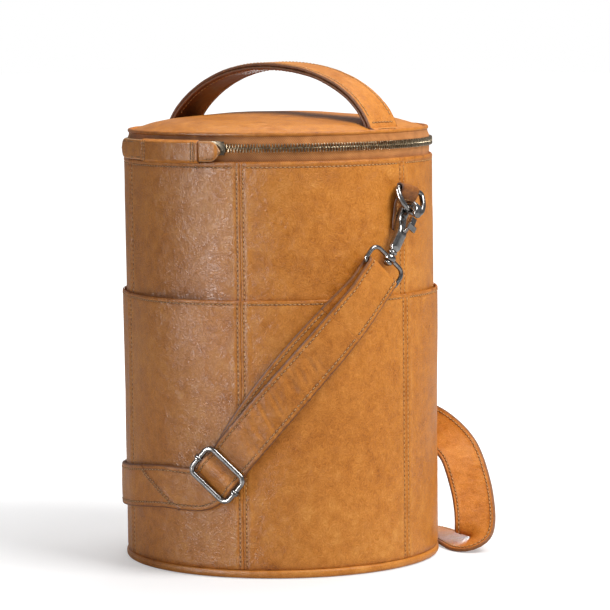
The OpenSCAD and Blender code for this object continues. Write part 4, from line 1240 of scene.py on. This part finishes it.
# ------------------------------------------------------------------ shoulder strap
# Waypoints of the CAD part's strap: azimuth, radius, height, and a face normal as outward, sideways and up
MAIN = [
    (73.8, 121.8, 199, -0.998, -0.07, 0), (70.5, 122.2, 191, -0.993, -0.12, 0), (64.2, 122, 176, -1, 0, 0),
    (56.2, 121, 157, -1, 0, 0), (44, 119.4, 128.5, -1, 0, 0), (32, 118.4, 100, -1, 0, 0),
    (27.2, 117.2, 88.6, -0.998, 0.06, 0), (24.1, 115.5, 81.1, -0.998, 0.063, 0), (20.5, 119.9, 72.5, -1, 0, 0),
    (16.9, 115.2, 64.6, -0.998, -0.063, 0), (12.6, 114.3, 61, -1, 0, 0), (6, 114, 60.4, -1, 0, 0),
    (-4, 114, 60.4, -1, 0, 0), (-16, 114, 58.2, -1, 0, 0), (-28, 114, 55.5, -1, 0, 0),
    (-50, 114, 51.5, -1, 0, 0), (-75, 114, 50, -1, 0, 0), (-100, 114, 52, -1, 0, 0),
    (-122, 114.6, 58, -1, 0, 0), (-142, 117.4, 68, -1, 0, 0), (-162, 117.8, 79, -1, 0, 0),
    (-181, 123.8, 87, -0.93, -0.36, 0), (-195.5, 132.1, 87, -0.79, -0.6, 0.05),
    (-209.3, 141, 70, -0.77, -0.59, 0.2), (-219.6, 145.4, 42, -0.82, -0.49, 0.25),
    (-226.7, 144, 19, -0.6, -0.44, 0.6), (-227.3, 140, 6.5, -0.25, -0.25, 0.92), (-222.5, 134.5, 1.9, 0, 0, 1),
    (-214, 130.5, 1.3, 0, 0, 1), (-199, 128, 1.5, 0, 0, 1), (-188, 125.2, 8, 0.35, 0, 0.94),
    (-181, 120.1, 22.5, 0.85, 0, 0.5), (-174, 115, 39, 1, 0, 0.08), (-160, 114.1, 71, 1, 0, 0),
    (-146, 114.2, 104, 1, 0, 0), (-134, 116.4, 132, 1, 0, 0), (-121, 119.2, 162.5, 1, 0, 0),
    (-109.5, 122.2, 191, 0.993, 0.12, 0), (-106.2, 121.8, 199, 0.998, 0.07, 0)]
TAIL = [
    (73.6, 116.1, 199, 0.997, 0.07, 0), (70.5, 117, 191.6, 0.992, 0.12, 0), (63, 117.6, 176, 1, 0, 0),
    (54.6, 117.2, 157, 1, 0, 0), (42.9, 115.8, 128.5, 1, 0, 0), (31.5, 114.6, 100, 1, 0, 0),
    (27.1, 113.8, 88.6, 0.998, -0.06, 0), (24.1, 113.1, 81.1, 0.998, -0.063, 0)]
FOLD_R = LOOP_WIRE + 0.2 + STRAP_T / 2
EDGE_SEAM = 2.9
END_LONG = 34.0
SPLICE_AT, SPLICE_LEAN = 194.0, 1.4
LOOP_MIDDLE, LOOP_TWIST, FREE_AZ = 672.0, -0.75, 132.5


def spline(ways, steps=14):
    """A smooth line through waypoints, with face normals."""
    az = np.array([w[0] for w in ways], float)
    p = np.array([polar(*w[:3]) for w in ways])
    m = np.array([w[3] * polar(a, 1, 0) + w[4] * polar(a + 90, 1, 0) + w[5] * UP for a, w in zip(az, ways)])
    n = len(p)
    t = np.arange(steps)[:, None] / steps
    P, M = [], []
    for i in range(n - 1):
        a, b, c, d = p[max(i - 1, 0)], p[i], p[i + 1], p[min(i + 2, n - 1)]
        cubic = (2 * a - 5 * b + 4 * c - d) * t ** 2 + (3 * b - a - 3 * c + d) * t ** 3
        P.append(0.5 * (2 * b + (c - a) * t + cubic))
        M.append(m[i] * (1 - t) + m[i + 1] * t)
    return np.concatenate([*P, p[-1:]]), np.concatenate([*M, m[-1:]])


def strap_grid(line, face, thick, seed, gathers, splices):
    """Grid over the band's outer face: points, flat coordinates, tone (random, with painted shade), normals
    and distance along.
    """
    line, face = resample(line, 1.1, face)
    half = STRAP_W / 2
    side = unit(np.cross(unit(np.gradient(line, axis=0)), face))
    n = np.cross(side, unit(np.gradient(line, axis=0)))
    s = run(line)
    w = ladder((-half, -half + 5, 0.8), (-half + 5, half - 5, 1.3), (half - 5, half, 0.8))[::-1]
    S, W = np.meshgrid(s, w, indexing="ij")
    d = half - np.abs(W)
    p = np.stack([S, W, 0 * S + seed * 7.0], -1)
    h = 0.22 * (1 - (W / half) ** 2) - 0.20 * bell(d - EDGE_SEAM, 0.6) + 0.10 * bell(d - 1.4, 0.9)
    h = h + 0.16 * noise(p, (18, 12, 1), seed) + 0.10 * noise(p, (3.2, 9, 1), seed + 1)
    count = int(s[-1] / 9)
    h = h + creases(S, W, seed, count, angle=90, spread=14, long=(4, 13), wide=(0.4, 0.9), deep=(0.05, 0.2))
    # Painted shade along the edges and the stitch lines, and random tone
    tone = -0.14 * bell(d, 1.0) - 0.06 * bell(d - EDGE_SEAM, 0.8) + 0.06 * noise(p, (30, 14, 1), seed + 3)
    for at, lean in splices:
        x = S - at - lean * W
        h = h + 0.45 * smooth(x / 0.9 + 0.5) * smooth((9 - x) / 8)
        # Painted shade along the splice's step
        tone = tone - 0.30 * bell(x, 0.7)
    for lo, hi, deep in gathers:
        zone = smooth((S - lo) / 12) * smooth((hi - S) / 12)
        puckers = noise(np.stack([S + 0.375 * W, W, 0 * S], -1), (2.6, 16, 1), seed + 5)
        h = h - zone * deep * np.abs(puckers) ** 0.7
    P = line[:, None] + side[:, None] * W[..., None] + n[:, None] * (h + thick / 2)[..., None]
    return P, S, W, tone, n, s


def strap_piece(name, line, face, replaces, seed, slot="tan_leather", thick=STRAP_T, blend=None, both=True,
                skip=(0, 0), gathers=(), splices=()):
    """A stretch of the band along a line, stitched along both edges, and with both on both of its faces."""
    P, S, W, tone, n, s = strap_grid(line, face, thick, seed, gathers, splices)
    if (normals(P) * n[:, None]).sum(-1).mean() < 0:
        P, S, W, tone = (x[:, ::-1] for x in (P, S, W, tone))
    N = normals(P)
    body = None if blend else "bag"
    obj = sheet(name, P, thick, STRAP, body, slot, [replaces], N=N, flat=(S, W), tone=tone)
    if blend:
        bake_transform(obj)
    rows = Thread(name + "_stitches", "bag")
    keep = slice(skip[0], len(s) - skip[1])
    for target in (-STRAP_W / 2 + EDGE_SEAM, STRAP_W / 2 - EDGE_SEAM):
        c = nearest(W[0], target)
        rows.row(P[keep, c], N[keep, c], **SADDLE)
        if both:
            rows.row(P[keep, c] - N[keep, c] * thick, -N[keep, c], **SADDLE)
    cols = np.arange(2, W.shape[1] - 2)
    for at, lean in splices:
        for shift in (1.9, 4.9):
            spots = [nearest(s, at + lean * W[0, c] + shift) for c in cols]
            rows.row(P[spots, cols], N[spots, cols], **SHORT)
    rows.build(slot, blend=blend)


def fold_line(left, front, back):
    """The band's turn over the clip's wire, from the outer leg's low end to the inner leg's."""
    a = np.radians(np.linspace(0, 180, 26))
    top = np.stack([0 * a, -FOLD_R * np.cos(a), -LOOP_H + FOLD_R * np.sin(a)], -1)
    n_top = np.stack([0 * a, -np.cos(a), np.sin(a)], -1)
    leg = lambda y, low: np.stack([np.zeros(12), np.full(12, y), -LOOP_H - np.linspace(low, 0, 13)[:-1]], -1)
    pts = np.concatenate([leg(-FOLD_R, front), top, leg(FOLD_R, back)[::-1]])
    nrm = np.concatenate([np.tile([0, -1.0, 0], (12, 1)), n_top, np.tile([0, 1.0, 0], (12, 1))])
    return at_eye(pts, left), half_turn(turned(nrm, LOOP_TURN), left)


def eased(values, s, lo, hi, reach):
    """Values along a line, each averaged with its neighbours, between two distances along it."""
    weight = np.exp(-((s[:, None] - s[None]) / reach) ** 2) * np.gradient(s)[None]
    soft = weight @ values / weight.sum(1, keepdims=True)
    share = (smooth((s - lo) / 30 + 0.5) * smooth((hi - s) / 30 + 0.5))[:, None]
    return values * (1 - share) + soft * share


def between(a, b, na, nb, n=12):
    """A smooth join between the end of one line and the start of the next."""
    t = np.linspace(0, 1, n + 2)[1:-1, None]
    gap = np.linalg.norm(b[0] - a[-1])
    ta, tb = unit(a[-1] - a[-2]) * gap, unit(b[1] - b[0]) * gap
    points = ((2 * t ** 3 - 3 * t ** 2 + 1) * a[-1] + (t ** 3 - 2 * t ** 2 + t) * ta
              + (-2 * t ** 3 + 3 * t ** 2) * b[0] + (t ** 3 - t ** 2) * tb)
    return points, unit(na[-1] * (1 - t) + nb[0] * t)


def chain(*lines):
    """Joins lines with smooth stretches."""
    P, N = lines[0]
    for Q, M in lines[1:]:
        J, K = between(P, Q, N, M)
        P, N = np.concatenate([P, J, Q]), np.concatenate([N, K, M])
    return P, unit(N)


def cut(line, normal, lo, hi):
    """A stretch of a line between two distances, which count from its end where they are below zero."""
    s = run(line)
    lo = s[-1] + lo if lo < 0 else lo
    hi = s[-1] + hi if hi <= 0 else hi
    keep = s[(s > lo + 0.01) & (s < hi - 0.01)]
    at = np.concatenate([[lo], keep, [hi]])
    return along(at, s, line), along(at, s, normal)


def main_route():
    """The long band's middle line and outward normals, as the CAD has it, with its free loop eased."""
    line, face = spline(MAIN)
    face = -unit(face)
    # The free loop on the right settles a little lower and nearer the front, in one smooth curve
    s = run(line)
    near = lambda at, wide: bell(s - at, wide)[:, None]
    line = line - 6.5 * near(690, 60) * polar(FREE_AZ, 1, 0) - 6.0 * near(625, 45) * UP
    line = line + 14.0 * near(752, 34) * polar(FREE_AZ - 90, 1, 0)
    line = eased(line, s, 700, 795, 13.0)
    face = unit(eased(face, s, 690, 800, 17.0))
    # In its free loop the band turns its face towards the light
    share = bell(run(line) - LOOP_MIDDLE, 62)
    forward = unit(np.gradient(line, axis=0))
    face = unit(face + (LOOP_TWIST * share)[:, None] * np.cross(forward, face))
    face = unit(eased(face, s, 690, 800, 12.0))
    # Nowhere does an edge of the band go under the floor
    across = unit(np.cross(np.gradient(line, axis=0), face))
    lowest = line[:, 2] - np.abs(across[:, 2]) * STRAP_W / 2 - STRAP_T / 2
    line[:, 2:] += eased(np.maximum(1.1 - lowest, 0)[:, None], s, 660, 820, 15.0)
    return line, face


def inward(line):
    """Normals that point at the bag's axis."""
    return -unit(line * [1, 1, 0])


def tail_route():
    """The returned end's line and normals, a little up and left of the long band, so its edge shows."""
    line, _ = spline(TAIL)
    share = run(line) / run(line)[-1]
    drift = 4.2 * np.clip(np.sin(math.pi * share), 0, 1) ** 0.8
    away = unit(np.cross(np.gradient(line, axis=0), line * [1, 1, 0]))
    line = line + away * (drift * np.sign(away[len(away) // 2, 2]))[:, None]
    return line, inward(line)


def bar_curl():
    """The end of the returned strap, curled round the buckle's bar."""
    tilt = math.radians(BUCKLE_TILT)
    out = polar(BUCKLE_AZ, 1, 0)
    down = -math.sin(tilt) * polar(BUCKLE_AZ + 90, 1, 0) - math.cos(tilt) * UP
    centre = out * (BUCKLE_R - BAR_DROP) + np.array([0, 0, BUCKLE_Z])
    a = np.radians(np.linspace(-90, 150, 30))[:, None]
    outward = np.cos(a) * down + np.sin(a) * out
    return centre + (BAR_R + 1.05) * outward, outward


def strap_end(label, path, face, az, seed):
    """The folded end at a clip, round the clip's wire from one leg to the other; it is given no body and stays
    where it is built.
    """
    fixed, free = (tuple(polar(a, 118, z) * 0.001) for a, z in ((az, 190), (az + 7.4, 208)))
    strap_piece("strap_end_" + label, path, face, "strap_fold_" + label, seed, both=False, skip=(1, 1),
                blend=("bag", "ring_" + label, fixed, free))


def build_strap():
    main, tail = main_route(), tail_route()
    inner, _ = cut(*tail, 8.0, END_LONG)
    fold, fold_n = fold_line(False, 12.0, 12.0)
    up, over = (inner[::-1], inward(inner)[::-1]), (fold[::-1], fold_n[::-1])
    path, face = chain(up, over, cut(*main, 8.0, END_LONG))
    strap_end("right", path, face, 70.6, 701)
    strap_piece("strap_band", *cut(*main, END_LONG - 0.4, 0.4 - END_LONG), "strap_main", 702,
                gathers=((20, 112, 1.15),), splices=((SPLICE_AT, SPLICE_LEAN),))
    path, face = chain(cut(*tail, END_LONG, 0), bar_curl())
    strap_piece("strap_tail_band", path, face, "strap_tail", 703, slot="tan_leather_dark", thick=TAIL_T,
                skip=(0, 18))
    path, face = chain(cut(*main, -END_LONG, -9.0), fold_line(True, 12.0, 20.0))
    strap_end("left", path, face, -109.4, 704)


def buckle_pieces():
    """The slide buckle's frame, and its bar with the wire curls that hold it."""
    line = loop_line(BUCKLE_W, BUCKLE_H, 5, 5)
    line[:, 2] += BUCKLE_H / 2
    v, f = wire(at_buckle(line), BUCKLE_WIRE + 0.25, closed=True, sides=14)
    make("buckle_frame", v, f, [steel], "bag", "dark_nickel", ["slide_buckle"])
    bar = np.stack([np.linspace(-BUCKLE_W / 2, BUCKLE_W / 2, 12), np.full(12, BAR_DROP), np.zeros(12)], -1)
    parts = [wire(at_buckle(bar), BAR_R, sides=12)]
    a = np.radians(np.linspace(35, 325, 22))
    for sign in (-1, 1):
        curl = np.stack([sign * (BUCKLE_W / 2 + 2.55 * np.sin(a)), 2.55 * np.cos(a), np.zeros(22)], -1)
        parts += [wire(at_buckle(curl + [0, 0, dz]), 0.8, sides=8) for dz in (-0.75, 0.75)]
    v, f = joined(parts)
    make("buckle_bar_wire", v, f, [steel], "bag", "dark_nickel", ["buckle_bar"])


build_strap()
buckle_pieces()


# ------------------------------------------------------------------ CAD nodes that stay in view
def finish_node(name, mat, voxel=None):
    """Gives a CAD node its material, and with a voxel size the soft edges of a casting."""
    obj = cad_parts[name]
    obj.data.materials.clear()
    obj.data.materials.append(mat)
    obj.data.polygons.foreach_set("use_smooth", np.ones(len(obj.data.polygons), bool))
    if voxel:
        cast = obj.modifiers.new("cast", "REMESH")
        cast.mode, cast.voxel_size, cast.use_smooth_shade = "VOXEL", voxel, True
        soften = obj.modifiers.new("soften", "SMOOTH")
        soften.factor, soften.iterations = 0.5, 4


for _, label in SIDES:
    finish_node("hook_gate_" + label, steel, voxel=0.00022)
    finish_node("gate_pin_" + label, steel)
    finish_node("gate_spring_" + label, steel)
for name in ("base_board", "wall_stiffener", "lid_board"):
    finish_node(name, board)
